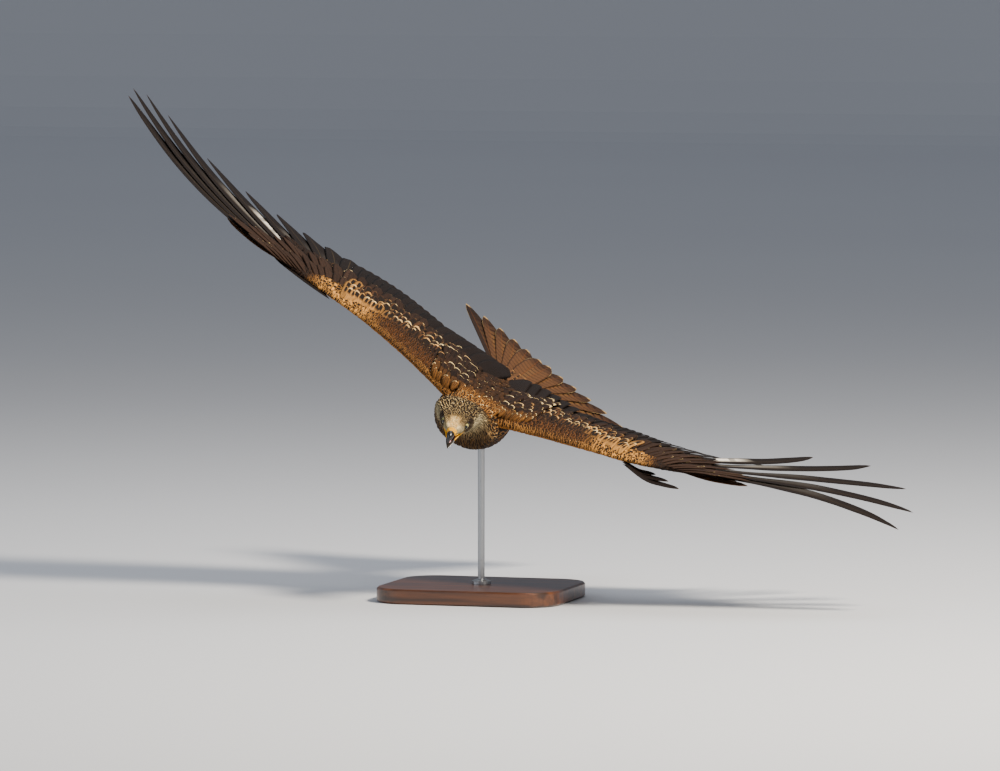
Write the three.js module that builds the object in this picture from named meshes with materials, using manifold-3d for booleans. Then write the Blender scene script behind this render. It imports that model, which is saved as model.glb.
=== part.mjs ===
// A red kite in banked flight, life size, as a still museum model on a plain stand.
// Millimetres, +Z up, the bird heads along -Y and its left wing points to +X.
// The bird is drawn in its own frame, x forward, y left, z up out of its back, then banked and pitched.
import * as THREE from "three";
import { mergeVertices } from "three/addons/utils/BufferGeometryUtils.js";
import Module from "manifold-3d";

const wasm = await Module();
wasm.setup();

// Pose and place
const BANK = 29; // left wing down, degrees
const PITCH = 9; // bill down, degrees
const BIRD_HEIGHT = 330; // middle of the trunk above the floor
const BIRD_AHEAD = 20; // middle of the trunk ahead of the rod
const GAP = 0.35; // clearance between neighbouring parts

// Stand
const BASE = { length: 330, width: 270, height: 26, corner: 60, bevel: 3 };
const ROD = { radius: 6, collarRadius: 17, collarHeight: 9, sides: 24 };

// Trunk, neck and skull: distance back from the face, then the middle line and the section.
const EYES = { x: 163, y: -1, z: 17 }; // midway between the eyes
const HEAD_YAW = 11; // towards the left wing
const HEAD_PITCH = 11; // bill down
const HEAD_ROLL = 13; // left side up
const FACE_TO_EYES = 19;
const NECK_STARTS = 64;
const NECK_ENDS = 100;
const TRUNK_ENDS = 352;
const NECK_FOOT = [100, [84, -1, 3]];
const TRUNK_MIDDLE = [[125, [60, 0, 0]], [160, [25, 0, -1]], [200, [-15, 0, -1]], [352, [-167, 0, 2]]];
const HALF_WIDTH = [
  [0, 10], [8, 15], [16, 19.5], [24, 23.5], [36, 29], [50, 35], [64, 42], [80, 48], [100, 54],
  [125, 59], [160, 63], [200, 60], [245, 51], [290, 41], [330, 31], [352, 26],
];
const TOP = [
  [0, 7.5], [8, 12], [16, 15.5], [24, 18], [36, 20.5], [50, 22.5], [64, 25], [80, 28.5], [100, 33],
  [125, 38], [160, 42], [200, 41], [245, 35], [290, 26], [330, 18], [352, 14],
];
const BOTTOM = [
  [0, 11], [8, 14], [16, 18], [24, 22], [36, 27], [50, 31], [64, 34.5], [80, 38], [100, 44],
  [125, 49], [160, 53], [200, 54], [245, 48], [290, 37], [330, 26], [352, 19],
];
const BROW = { from: 2, to: 34, peak: 17, height: 2.6, angle: 40, spread: 20 };

// Eyes and bill, in the head's frame with its origin midway between the eyes
const EYE = { radius: 8.2, x: -4.4, side: 15.4, forward: 33, lidRadius: 6.4, lidThickness: 1.1 };
const BILL_OPEN = 25; // degrees
const JAW_HINGE = { x: -3, z: -12 };
const PALATE = -9.8;
const CERE = { from: 19, to: 31, width: [8.8, 6.4], top: [5.4, 3.6], bottom: [-9, -9.4] };
const NOSTRIL = { x: 26.5, y: 6.4, z: 0.4, length: 2.6, height: 1.1 };
const HORN = { start: [31, -2.9], bend: [42.5, -2.6], tip: [45.6, -14.6], height: 6.5, width: 6.4, point: 0.5 };
const JAW = { from: 17, to: 39.5, top: -11, depth: 5.4, width: 8 };
const CHIN = { from: -16, width: 15, depth: 10 };
const TONGUE = { from: 6, to: 29, width: 3.6, thickness: 1.8 };

// Wing, drawn flat: x forward, y outward from the bird's middle line
const SHOULDER = { x: 35, y: 45, z: 22 };
const WRIST_Y = 290;
const SPAN = 860; // the flat drawing's reach from the middle line
const SPAN_STEP = 5;
const LEADING_EDGE = [
  [20, 62], [45, 64], [100, 68], [150, 75], [250, 99],
  [290, 106], [330, 107], [400, 100], [600, 72], [790, 12],
];
const TRAILING_EDGE = [
  [20, -180], [60, -185], [120, -178], [200, -160], [290, -140],
  [400, -150], [560, -175], [660, -150], [790, -60],
];
const LEFT = {
  rise: [[0, 18], [150, 19], [230, 20], [290, 16], [420, 19], [560, 19], [800, 8]],
  twist: [[0, 1.5], [60, 2], [170, 5], [290, 6], [450, 9], [800, 11]],
  forward: 24,
  reach: 0.985,
  primaryAngle: [13, 18, 23, 28, 33, 41, 52, 67, 79, 88],
  primaryLift: [0, 0, 0, 0, 4, 34, 42, 26, -2, -30],
  primaryInner: [27, 42], // half widths inward, of the short primaries and of the notched ones
  fingers: "open",
  fingerTwist: 15, // degrees, front edge down, on the notched half of the outer primaries
};
const RIGHT = {
  rise: [[0, 15], [200, 14], [290, 6], [420, 5], [560, 12], [800, 27]],
  twist: [[0, 1.2], [150, 2.2], [290, 3.4], [450, 6.5], [800, 9]],
  forward: -20,
  reach: 1.045,
  primaryAngle: [13, 20, 28, 37, 47, 57, 66, 73, 79, 85],
  primaryLift: [0, 0, 0, 0, 0, 0, 4, 4, 0, -2],
  primaryInner: [34, 42],
  fingers: "closed",
  fingerTwist: 0,
};
const CAMBER = [[0, 0.055], [290, 0.06], [500, 0.035], [800, 0.01]];
const FLESH_CHORD = [[20, 135], [60, 128], [158, 110], [290, 68], [350, 52], [402, 34], [430, 14]];
const FLESH_THICKNESS = [[20, 40], [60, 34], [158, 26], [290, 17], [350, 13], [402, 9], [430, 4]];
const FLESH_STATIONS = [15, 50, 90, 130, 170, 220, 260, 300, 345, 390, 430];

// Feathers
const VANE_THICKNESS = 0.7;
const VANE_TILT = 5.5; // degrees, outer edge up, so that each feather lies on the next one outward
const PRIMARY_LENGTH = [238, 248, 262, 276, 298, 345, 408, 424, 418, 390];
const SECONDARIES = 12;
const TERTIALS = 6;
const TERTIAL_LIFT = 18;
const GREATER = { count: 15, reach: 1.7, forward: 12, length: 92, lift: 4.6 };
const MEDIAN = { count: 12, reach: 1.7, forward: 32, length: 62, lift: 8.6 };
const PRIMARY_COVERT = { length: [100, 128], lift: 4.6 };
const THUMB_OUT = { angle: 96, length: 109, drop: 19 };
const THUMB_IN = { angle: 82, length: 122, drop: 0 };
const RECTRIX_LENGTH = [298, 304, 314, 329, 348, 370];
const TAIL_SPREAD = 28; // degrees from the middle to the outermost shaft
const TAIL_ROLL = -9; // left side down
const TAIL_DROOP = 4.5;
const TAIL_TILT = 7;
const TAIL_ROOT = { x: -160, z: 2 };
const TAIL_BASE = { width: [25, 15], height: [14, 3], length: 42 };

// Legs, folded back under the tail
const THIGH = { from: [-42, 24, -44], to: [-112, 23, -45], radius: [21, 18, 9] };
const SHANK = { to: [-160, 19, -38], radius: [7.5, 4.4, 4.4] };
const TOE_LENGTH = [30, 36, 28];
const TOE_SPREAD = 0.32; // sideways for each unit of length
const TOE_RADIUS = [3.9, 3.4, 2.6, 0.6];
const HIND_TOE = 20;

const DEG = Math.PI / 180;
const { clamp, lerp, smoothstep } = THREE.MathUtils;
const vec = (x, y, z) => new THREE.Vector3(x, y, z);

// A smooth curve through [place, value] pairs, flat beyond its ends.
function through(pairs) {
  const slope = pairs.map((_, i) => {
    const a = pairs[Math.max(i - 1, 0)];
    const b = pairs[Math.min(i + 1, pairs.length - 1)];
    return (b[1] - a[1]) / (b[0] - a[0]);
  });
  return (x) => {
    const at = clamp(x, pairs[0][0], pairs.at(-1)[0]);
    let i = 0;
    while (i < pairs.length - 2 && at > pairs[i + 1][0]) i++;
    const [x0, y0] = pairs[i];
    const [x1, y1] = pairs[i + 1];
    const w = x1 - x0;
    const t = (at - x0) / w;
    return (
      (2 * t ** 3 - 3 * t ** 2 + 1) * y0 +
      (t ** 3 - 2 * t ** 2 + t) * w * slope[i] +
      (-2 * t ** 3 + 3 * t ** 2) * y1 +
      (t ** 3 - t ** 2) * w * slope[i + 1]
    );
  };
}

// A turn in degrees: yaw to the left, then bill down, then left side up.
const turned = (yaw, pitch, roll) =>
  new THREE.Matrix4()
    .makeRotationZ(yaw * DEG)
    .multiply(new THREE.Matrix4().makeRotationY(pitch * DEG))
    .multiply(new THREE.Matrix4().makeRotationX(roll * DEG));

// A closed solid from points and triangles, turned the right way out.
function solid(points, triangles) {
  const geometry = new THREE.BufferGeometry();
  geometry.setAttribute("position", new THREE.Float32BufferAttribute(points.flatMap((p) => p.toArray()), 3));
  geometry.setIndex(triangles.flat());
  return solidOf(geometry);
}

function solidOf(geometry) {
  const bare = geometry.clone();
  bare.deleteAttribute("normal");
  bare.deleteAttribute("uv");
  const merged = mergeVertices(bare, 1e-4);
  const build = (triVerts) =>
    new wasm.Manifold(
      new wasm.Mesh({ numProp: 3, vertProperties: merged.attributes.position.array, triVerts }),
    );
  const order = new Uint32Array(merged.index.array);
  const made = build(order);
  if (made.volume() > 0) return made;
  for (let i = 0; i < order.length; i += 3) [order[i + 1], order[i + 2]] = [order[i + 2], order[i + 1]];
  return build(order);
}

// A closed skin over rings of points, each end closed by a fan round its middle.
function loft(rings) {
  const n = rings[0].length;
  const points = rings.flat();
  const triangles = [];
  for (let k = 0; k + 1 < rings.length; k++) {
    for (let i = 0; i < n; i++) {
      const a = k * n + i;
      const b = k * n + ((i + 1) % n);
      triangles.push([a, b, b + n], [a, b + n, a + n]);
    }
  }
  [0, rings.length - 1].forEach((k) => {
    const middle = rings[k].reduce((sum, p) => sum.add(p), vec(0, 0, 0)).divideScalar(n);
    const centre = points.push(middle) - 1;
    for (let i = 0; i < n; i++) {
      const pair = [k * n + i, k * n + ((i + 1) % n)];
      triangles.push(k ? [centre, ...pair] : [centre, ...pair.reverse()]);
    }
  });
  return solid(points, triangles);
}

const evenly = (from, to, count) => Array.from({ length: count }, (_, i) => lerp(from, to, i / (count - 1)));

// The largest closed surface of a solid: sealed hollows are filled and loose scraps dropped.
const largest = (made) => made.decompose().sort((a, b) => b.volume() - a.volume())[0];
const join = (...solids) => largest(wasm.Manifold.union(solids.flat()));
const moved = (made, matrix) => made.transform(matrix.elements);

// The trunk, neck and skull as one surface

const headTurn = turned(HEAD_YAW, HEAD_PITCH, HEAD_ROLL);
const headFrame = new THREE.Matrix4().makeTranslation(EYES.x, EYES.y, EYES.z).multiply(headTurn);
const alongHead = (s) => vec(FACE_TO_EYES - s, 0, 0).applyMatrix4(headFrame);
const MIDDLE = [
  ...[0, 16, 36, NECK_STARTS].map((s) => [s, alongHead(s).toArray()]),
  NECK_FOOT,
  ...TRUNK_MIDDLE,
];
const middleLine = [0, 1, 2].map((axis) => through(MIDDLE.map(([s, p]) => [s, p[axis]])));
const turning = (s) => 1 - smoothstep(s, 50, 110); // 1 in the head, 0 in the trunk
const halfWidth = through(HALF_WIDTH);
const top = through(TOP);
const bottom = through(BOTTOM);

function bodyFrame(s) {
  const k = turning(s);
  return new THREE.Matrix4()
    .makeTranslation(...middleLine.map((f) => f(s)))
    .multiply(turned(HEAD_YAW * k, HEAD_PITCH * k, HEAD_ROLL * k));
}

// A point of the skin: s back from the face, angle from the left side up over the back.
function bodyPoint(s, angle, grow = 0) {
  const up = Math.sin(angle);
  const side = Math.cos(angle);
  const fromBrow = Math.abs(Math.abs(Math.atan2(up, Math.abs(side))) / DEG - BROW.angle) / BROW.spread;
  const along = smoothstep(s, BROW.from, BROW.peak) * (1 - smoothstep(s, BROW.peak, BROW.to));
  const brow = up > 0 && fromBrow < 1 ? BROW.height * (1 - fromBrow ** 2) * along : 0;
  const y = Math.sign(side) * Math.abs(side) ** 0.9 * (halfWidth(s) + grow + brow);
  const z = Math.sign(up) * Math.abs(up) ** 0.95 * ((up > 0 ? top(s) : bottom(s)) + grow + brow);
  return vec(0, y, z).applyMatrix4(bodyFrame(s));
}

function body(stations, around, grow = 0) {
  const rings = stations.map((s) =>
    Array.from({ length: around }, (_, i) => bodyPoint(s, (i / around) * 2 * Math.PI, grow)),
  );
  return loft(rings);
}

const BODY_STATIONS = [
  0, 5, 10, 15, 20, 26, 34, 44, 54, 64, 74, 84, 94, 106,
  120, 138, 160, 185, 210, 236, 262, 288, 312, 334, TRUNK_ENDS,
];
const BODY_SIDES = 24;
const wholeBody = body(BODY_STATIONS, BODY_SIDES);
const clearOfBody = body([-GAP, ...BODY_STATIONS.slice(1, -1), TRUNK_ENDS + GAP], BODY_SIDES, GAP);

// The part of a solid ahead of (side 1) or behind (side -1) the section at s, half a gap away from it.
function ahead(made, s, side) {
  const frame = bodyFrame(s);
  const normal = vec(side, 0, 0).transformDirection(frame);
  const at = vec((side * GAP) / 2, 0, 0).applyMatrix4(frame);
  return made.trimByPlane(normal.toArray(), normal.dot(at));
}

// Feathers

// A wing's folded line: the flat drawing keeps its length and bends up by the rise, in degrees, at each place.
function wing(sign) {
  const pose = sign > 0 ? LEFT : RIGHT;
  const rise = through(pose.rise);
  const twist = through(pose.twist);
  const camber = through(CAMBER);
  const lead = through(LEADING_EDGE);
  const trail = through(TRAILING_EDGE);
  const line = [[SHOULDER.y, SHOULDER.z]];
  for (let y = SHOULDER.y; y < SPAN; y += SPAN_STEP) {
    const [a, b] = line.at(-1);
    const step = SPAN_STEP * pose.reach;
    line.push([a + step * Math.cos(rise(y) * DEG), b + step * Math.sin(rise(y) * DEG)]);
  }
  const across = (y, axis) => {
    const k = clamp((y - SHOULDER.y) / SPAN_STEP, 0, line.length - 2);
    const i = Math.floor(k);
    return lerp(line[i][axis], line[i + 1][axis], k - i);
  };
  return {
    pose,
    lead,
    // The 3-D place of a point of the flat drawing, h above the cambered surface.
    place(x, y, h) {
      const inner = Math.min(y - SHOULDER.y, 0);
      const slope = rise(y) * DEG;
      const chord = lead(y) - trail(y);
      const back = lead(y) - x;
      const u = back / chord;
      const arch = u < 1 ? 4 * u * (1 - u) : -2 * (u - 1);
      const up = h + camber(y) * chord * Math.max(arch, -1) - back * Math.tan(twist(y) * DEG);
      const spanY = across(y, 0) + inner * Math.cos(slope);
      const spanZ = across(y, 1) + inner * Math.sin(slope);
      const swept = x + pose.forward * clamp((y - SHOULDER.y) / (WRIST_Y - SHOULDER.y), 0, 1);
      return vec(swept, sign * (spanY - up * Math.sin(slope)), spanZ + up * Math.cos(slope));
    },
  };
}

// Widths along a feather, as shares of its own half width, for a rounded vane and for those of the outer
// primaries, which are notched half way along, or nearer the tip where the fingers lie closed.
const ROUND_VANE = [[0, 0.16], [0.14, 0.55], [0.4, 1], [0.8, 0.97], [0.93, 0.72], [1, 0.2]];
const FINGER_VANE = {
  open: {
    outer: [[0, 0.16], [0.14, 0.6], [0.44, 1], [0.58, 0.66], [0.9, 0.52], [1, 0.12]],
    inner: [[0, 0.16], [0.14, 0.6], [0.3, 1], [0.46, 1], [0.62, 0.52], [0.86, 0.42], [0.95, 0.26], [1, 0.08]],
  },
  closed: {
    outer: [[0, 0.16], [0.14, 0.6], [0.4, 1], [0.62, 0.95], [0.8, 0.62], [0.93, 0.45], [1, 0.12]],
    inner: [[0, 0.16], [0.14, 0.6], [0.4, 1], [0.66, 1], [0.86, 0.8], [0.95, 0.46], [1, 0.08]],
  },
};

// A feather as a thin closed plate on a wing or tail surface. The shaft starts at root, points back by
// cos(angle) and outward by sin(angle), and curves by bow. Its outer edge is tilted up, less so by twist
// towards the tip, which rises by curl.
function vane(surface, feather, steps) {
  const { root, angle, length, outer, inner, lift = () => 0, bow = 0, curl = 0 } = feather;
  const { tilt = VANE_TILT, twist = 0 } = feather;
  const outerShare = through(feather.outerShape ?? ROUND_VANE);
  const innerShare = through(feather.innerShape ?? ROUND_VANE);
  const back = [-Math.cos(angle * DEG), Math.sin(angle * DEG)];
  const out = [Math.sin(angle * DEG), Math.cos(angle * DEG)];
  const rows = steps.map((t) => {
    const shaft = [0, 1].map((i) => root[i] + length * t * back[i] - bow * length * t * t * out[i]);
    const slope = Math.tan((tilt - twist * smoothstep(t, 0.3, 0.7)) * DEG);
    return [outer * outerShare(t), -inner * innerShare(t)].map((w) => {
      const height = lift(t) + w * slope + curl * t ** 3;
      return [shaft[0] + w * out[0], shaft[1] + w * out[1], height];
    });
  });
  const points = [];
  rows.forEach((row) => {
    row.forEach(([x, y, h]) => points.push(surface.place(x, y, h + VANE_THICKNESS / 2)));
    row.forEach(([x, y, h]) => points.push(surface.place(x, y, h - VANE_THICKNESS / 2)));
  });
  const FACES = [[0, 1, 5, 4], [2, 6, 7, 3], [0, 4, 6, 2], [1, 3, 7, 5]]; // upper, lower, outer and inner side
  const triangles = [[0, 2, 3], [0, 3, 1]];
  const last = (rows.length - 1) * 4;
  triangles.push([last, last + 1, last + 3], [last, last + 3, last + 2]);
  for (let k = 0; k < last; k += 4) {
    FACES.forEach(([p, q, r, s]) => triangles.push([k + p, k + q, k + r], [k + p, k + r, k + s]));
  }
  return solid(points, triangles);
}

const LONG_STEPS = [0, 0.2, 0.4, 0.55, 0.78, 0.93, 1];
const MEDIUM_STEPS = [0, 0.35, 0.7, 0.92, 1];
const ARM_STEPS = [0, 0.5, 0.92, 1];
const SHORT_STEPS = [0, 0.45, 0.88, 1];

// The muscle and skin of a wing between two places of the span, as sections of a thick, rounded profile.
function wingFlesh(surface, spans) {
  const chord = through(FLESH_CHORD);
  const thick = through(FLESH_THICKNESS);
  const SIDES = 12;
  return loft(
    spans.map((y) =>
      Array.from({ length: SIDES }, (_, i) => {
        const a = (i / SIDES) * 2 * Math.PI;
        const u = (1 - Math.cos(a)) / 2; // 0 at the leading edge, 1 at the back
        const full = Math.sin(a) * (1.15 - 0.75 * u);
        return surface.place(surface.lead(y) - u * chord(y), y, full * thick(y) * 0.5 - thick(y) * 0.12);
      }),
    ),
  );
}

const primaryRoot = (i) => [lerp(72, 90, i / 9), lerp(300, 404, i / 9)];

// Flight feathers of the hand, numbered outward from the wrist.
function primaries(surface) {
  const finger = FINGER_VANE[surface.pose.fingers];
  return PRIMARY_LENGTH.map((length, i) => {
    const notched = i > 4;
    return vane(
      surface,
      {
        root: primaryRoot(i),
        angle: surface.pose.primaryAngle[i],
        length,
        outer: notched ? 17 : 15,
        inner: surface.pose.primaryInner[notched ? 1 : 0],
        outerShape: notched ? finger.outer : ROUND_VANE,
        innerShape: notched ? finger.inner : ROUND_VANE,
        twist: notched ? surface.pose.fingerTwist : 0,
        bow: 0.04 + 0.03 * (i / 9),
        curl: surface.pose.primaryLift[i],
      },
      LONG_STEPS,
    );
  });
}

const armRoot = (k) => [lerp(62, 6, k), lerp(288, 158, k)]; // along the ulna, 0 at the wrist, 1 at the elbow

function secondaries(surface) {
  return Array.from({ length: SECONDARIES }, (_, i) => {
    const k = i / (SECONDARIES - 1);
    return vane(
      surface,
      { root: armRoot(k), angle: lerp(8, -1, k), length: lerp(222, 194, k), outer: 15, inner: 25 },
      ARM_STEPS,
    );
  });
}

// The innermost feathers, between the elbow and the trunk.
function tertials(surface) {
  return Array.from({ length: TERTIALS }, (_, i) => {
    const k = (i + 1) / TERTIALS;
    return vane(
      surface,
      {
        root: [lerp(4, -8, k), lerp(154, 52, k)],
        angle: lerp(-2, -9, k),
        length: lerp(190, 204, k),
        outer: 17,
        inner: 25,
        lift: (t) => TERTIAL_LIFT * k * t,
      },
      MEDIUM_STEPS,
    );
  });
}

// A row of coverts from the wrist towards the trunk, one over each flight feather.
function armCoverts(surface, row) {
  return Array.from({ length: row.count }, (_, i) => {
    const k = i / (row.count - 1);
    const start = armRoot(k * row.reach);
    return vane(
      surface,
      {
        root: [start[0] + row.forward, start[1]],
        angle: lerp(10, -4, k),
        length: row.length,
        outer: 12,
        inner: 19,
        lift: (t) => row.lift * smoothstep(t, -0.15, 0.4),
      },
      SHORT_STEPS,
    );
  });
}

function primaryCoverts(surface) {
  return PRIMARY_LENGTH.slice(0, 9).map((_, i) => {
    const root = primaryRoot(i);
    return vane(
      surface,
      {
        root: [root[0] + 8, root[1] - 4],
        angle: surface.pose.primaryAngle[i] - 1,
        length: lerp(...PRIMARY_COVERT.length, i / 8),
        outer: 11,
        inner: 15,
        lift: (t) => PRIMARY_COVERT.lift * smoothstep(t, -0.15, 0.4),
      },
      SHORT_STEPS,
    );
  });
}

// The thumb's feathers, spread forward and down when the thumb is out.
function alula(surface, thumb) {
  return [0, 1, 2].map((i) =>
    vane(
      surface,
      {
        root: [112 - 3 * i, 300 - 3 * i],
        angle: thumb.angle - 9 * i,
        length: thumb.length - 22 * i,
        outer: 9,
        inner: 15,
        tilt: 4,
        lift: (t) => -thumb.drop * t - 2.4 * (2 - i),
      },
      MEDIUM_STEPS,
    ),
  );
}

function wingSolid(surface, thumb) {
  const parts = [
    wingFlesh(surface, FLESH_STATIONS),
    ...primaries(surface),
    ...secondaries(surface),
    ...tertials(surface),
    ...armCoverts(surface, GREATER),
    ...armCoverts(surface, MEDIAN),
    ...primaryCoverts(surface),
    ...alula(surface, thumb),
  ];
  return largest(join(parts).subtract(clearOfBody));
}

// The tail, a nearly flat fan that droops and is rolled against the trunk
const tailFrame = new THREE.Matrix4()
  .makeTranslation(TAIL_ROOT.x, 0, TAIL_ROOT.z)
  .multiply(turned(0, -TAIL_DROOP, TAIL_ROLL));
const tailSurface = (side) => ({
  place: (x, y, h) => vec(x, side * y, h - 0.0003 * y * y).applyMatrix4(tailFrame),
});

function rectrices(side) {
  const count = RECTRIX_LENGTH.length;
  return RECTRIX_LENGTH.map((length, i) => {
    const middle = i === 0 && side > 0; // the left middle feather lies over the right one
    return vane(
      tailSurface(side),
      {
        root: [-14, 2 + 1.7 * i],
        angle: TAIL_SPREAD * ((i + 0.35) / (count - 0.65)),
        length: length - 14,
        outer: 18,
        inner: 27,
        bow: -0.02 * (i / count),
        tilt: middle ? 0 : TAIL_TILT,
        lift: () => (middle ? 1.7 : 0),
      },
      MEDIUM_STEPS,
    );
  });
}

function tailCoverts(side, level, length) {
  return [0, 1, 2, 3].map((i) =>
    vane(
      tailSurface(side),
      {
        root: [-12, 2.5 + 3.4 * i],
        angle: 3 + 6.5 * i,
        length: length - 6 * i,
        outer: 11,
        inner: 13,
        tilt: level > 0 ? TAIL_TILT : -TAIL_TILT,
        lift: (t) => level * smoothstep(t, -0.2, 0.4),
      },
      SHORT_STEPS,
    ),
  );
}

function tailBase() {
  const SIDES = 14;
  const rings = evenly(0, 1, 5).map((t) => {
    const half = lerp(...TAIL_BASE.width, t);
    const high = lerp(...TAIL_BASE.height, t);
    return Array.from({ length: SIDES }, (_, i) => {
      const a = (i / SIDES) * 2 * Math.PI;
      return vec(-TAIL_BASE.length * t, half * Math.cos(a), high * Math.sin(a)).applyMatrix4(tailFrame);
    });
  });
  return loft(rings);
}

function tailSolid() {
  const parts = [1, -1].flatMap((side) => [
    ...rectrices(side),
    ...tailCoverts(side, 5, 110),
    ...tailCoverts(side, -5, 120),
  ]);
  return largest(join(tailBase(), parts).subtract(clearOfBody));
}

// Rings of an oval section in the head's frame, one for each station.
function headLoft(stations, frame, section, sides = 16) {
  return loft(
    stations.map((t) => {
      const { at, tilt = 0, half, up, down } = section(t);
      const place = new THREE.Matrix4()
        .makeTranslation(at[0], 0, at[1])
        .multiply(new THREE.Matrix4().makeRotationY(tilt));
      return Array.from({ length: sides }, (_, i) => {
        const a = (i / sides) * 2 * Math.PI;
        const z = (Math.sin(a) > 0 ? up : down) * Math.sin(a);
        return vec(0, half * Math.cos(a), z).applyMatrix4(place).applyMatrix4(frame);
      });
    }),
  );
}

const jawFrame = headFrame
  .clone()
  .multiply(new THREE.Matrix4().makeTranslation(JAW_HINGE.x, 0, JAW_HINGE.z))
  .multiply(new THREE.Matrix4().makeRotationY(BILL_OPEN * DEG))
  .multiply(new THREE.Matrix4().makeTranslation(-JAW_HINGE.x, 0, -JAW_HINGE.z));

// The part of a solid on the far side of a plane of some frame.
function trimmed(made, frame, normal, offset) {
  const n = vec(...normal).transformDirection(frame);
  const p = vec(...normal).multiplyScalar(offset).applyMatrix4(frame);
  return made.trimByPlane(n.toArray(), n.dot(p));
}

function cereSolid() {
  const between = (pair, x) => lerp(pair[0], pair[1], (x - CERE.from) / (CERE.to - CERE.from));
  const made = headLoft(evenly(CERE.from + GAP, CERE.to, 4), headFrame, (x) => {
    const up = between(CERE.top, x);
    const down = between(CERE.bottom, x);
    const high = (up - down) / 2;
    return { at: [x, down + high], half: between(CERE.width, x), up: high, down: high };
  });
  const nostrils = [1, -1].map((side) => {
    const pit = new THREE.SphereGeometry(1, 8, 6);
    pit.scale(NOSTRIL.length, 1.6, NOSTRIL.height);
    pit.translate(NOSTRIL.x, side * NOSTRIL.y, NOSTRIL.z);
    return moved(solidOf(pit), headFrame);
  });
  return largest(made.subtract(wasm.Manifold.union(nostrils)));
}

function hornSolid() {
  const [a, b, c] = [HORN.start, HORN.bend, HORN.tip];
  return headLoft(evenly(0, 1, 8), headFrame, (t) => {
    const at = [0, 1].map((i) => (1 - t) ** 2 * a[i] + 2 * t * (1 - t) * b[i] + t * t * c[i]);
    const way = [0, 1].map((i) => (1 - t) * (b[i] - a[i]) + t * (c[i] - b[i]));
    const size = (full) => full * (1 - t ** 1.8) + HORN.point * t;
    return {
      at: [at[0] + GAP, at[1]],
      tilt: -Math.atan2(way[1], way[0]),
      half: size(HORN.width),
      up: size(HORN.height),
      down: size(HORN.height),
    };
  });
}

function lowerBillSolid() {
  const made = headLoft(evenly(JAW.from + GAP, JAW.to, 6), jawFrame, (x) => {
    const t = (x - JAW.from) / (JAW.to - JAW.from);
    const down = JAW.depth * (1 - 0.75 * t ** 1.5);
    return { at: [x, JAW.top], half: lerp(JAW.width, 1.4, t ** 1.6), up: 1, down };
  });
  return trimmed(made, jawFrame, [0, 0, -1], -JAW.top);
}

function chin() {
  return headLoft(evenly(CHIN.from, JAW.from, 6), jawFrame, (x) => {
    const t = (x - CHIN.from) / (JAW.from - CHIN.from);
    return {
      at: [x, JAW.top],
      half: lerp(CHIN.width, JAW.width + 1.2, t),
      up: 3,
      down: lerp(CHIN.depth, JAW.depth + 1.5, t),
    };
  });
}

function gapeWedge() {
  const box = new THREE.BoxGeometry(80, 80, 60);
  box.translate(20, 0, -20);
  const whole = moved(solidOf(box), headFrame);
  return trimmed(trimmed(whole, headFrame, [0, 0, -1], -PALATE), jawFrame, [0, 0, 1], JAW.top);
}

function tongueSolid() {
  return headLoft(evenly(TONGUE.from, TONGUE.to, 5), jawFrame, (x) => {
    const t = (x - TONGUE.from) / (TONGUE.to - TONGUE.from);
    const high = (TONGUE.thickness / 2) * (1 - 0.6 * t ** 3);
    return {
      at: [x, JAW.top + GAP + TONGUE.thickness / 2],
      half: TONGUE.width * (1 - 0.7 * t ** 3),
      up: high,
      down: high,
    };
  }, 10);
}

function eyeball(side, grow = 0) {
  const ball = new THREE.SphereGeometry(EYE.radius + grow, 16, 9);
  ball.translate(EYE.x, side * EYE.side, 0);
  return moved(solidOf(ball), headFrame);
}

function lidRing(side) {
  const ring = new THREE.TorusGeometry(EYE.lidRadius, EYE.lidThickness, 6, 18);
  ring.rotateX(Math.PI / 2);
  const out = Math.sqrt(EYE.radius ** 2 - EYE.lidRadius ** 2) - 0.2;
  ring.translate(0, out, 0);
  ring.rotateZ(-EYE.forward * DEG);
  if (side < 0) ring.scale(1, -1, 1);
  ring.translate(EYE.x, side * EYE.side, 0);
  return moved(solidOf(ring), headFrame);
}

function headSolid() {
  const skull = ahead(wholeBody, NECK_STARTS, 1);
  const eyes = [1, -1].map((side) => eyeball(side, GAP));
  const lids = [1, -1].map(lidRing);
  return largest(join(skull, chin(), lids).subtract(wasm.Manifold.union([gapeWedge(), ...eyes])));
}

// Legs

// A round limb along a chain of points with the radius given at each.
function limb(points, radii, sides) {
  const curve = new THREE.CatmullRomCurve3(points);
  const radius = through(radii.map((r, i) => [i / (radii.length - 1), r]));
  const count = (points.length - 1) * 2 + 1;
  const up = vec(0, 0, 1);
  return loft(
    Array.from({ length: count }, (_, k) => {
      const t = k / (count - 1);
      const at = curve.getPoint(t);
      const along = curve.getTangent(t);
      const across = vec(0, 0, 0).crossVectors(up, along).normalize();
      const over = vec(0, 0, 0).crossVectors(along, across);
      return Array.from({ length: sides }, (_, i) => {
        const a = (i / sides) * 2 * Math.PI;
        return at
          .clone()
          .addScaledVector(across, radius(t) * Math.cos(a))
          .addScaledVector(over, radius(t) * Math.sin(a));
      });
    }),
  );
}

const mirrored = ([x, y, z], side) => vec(x, side * y, z);

function thighSolid(side) {
  const from = mirrored(THIGH.from, side);
  const to = mirrored(THIGH.to, side);
  const along = mirrored(SHANK.to, side).sub(to).normalize();
  const made = limb([from, from.clone().lerp(to, 0.5), to], THIGH.radius, 16);
  return largest(made.trimByPlane(along.clone().negate().toArray(), -along.dot(to)).subtract(clearOfBody));
}

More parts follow.
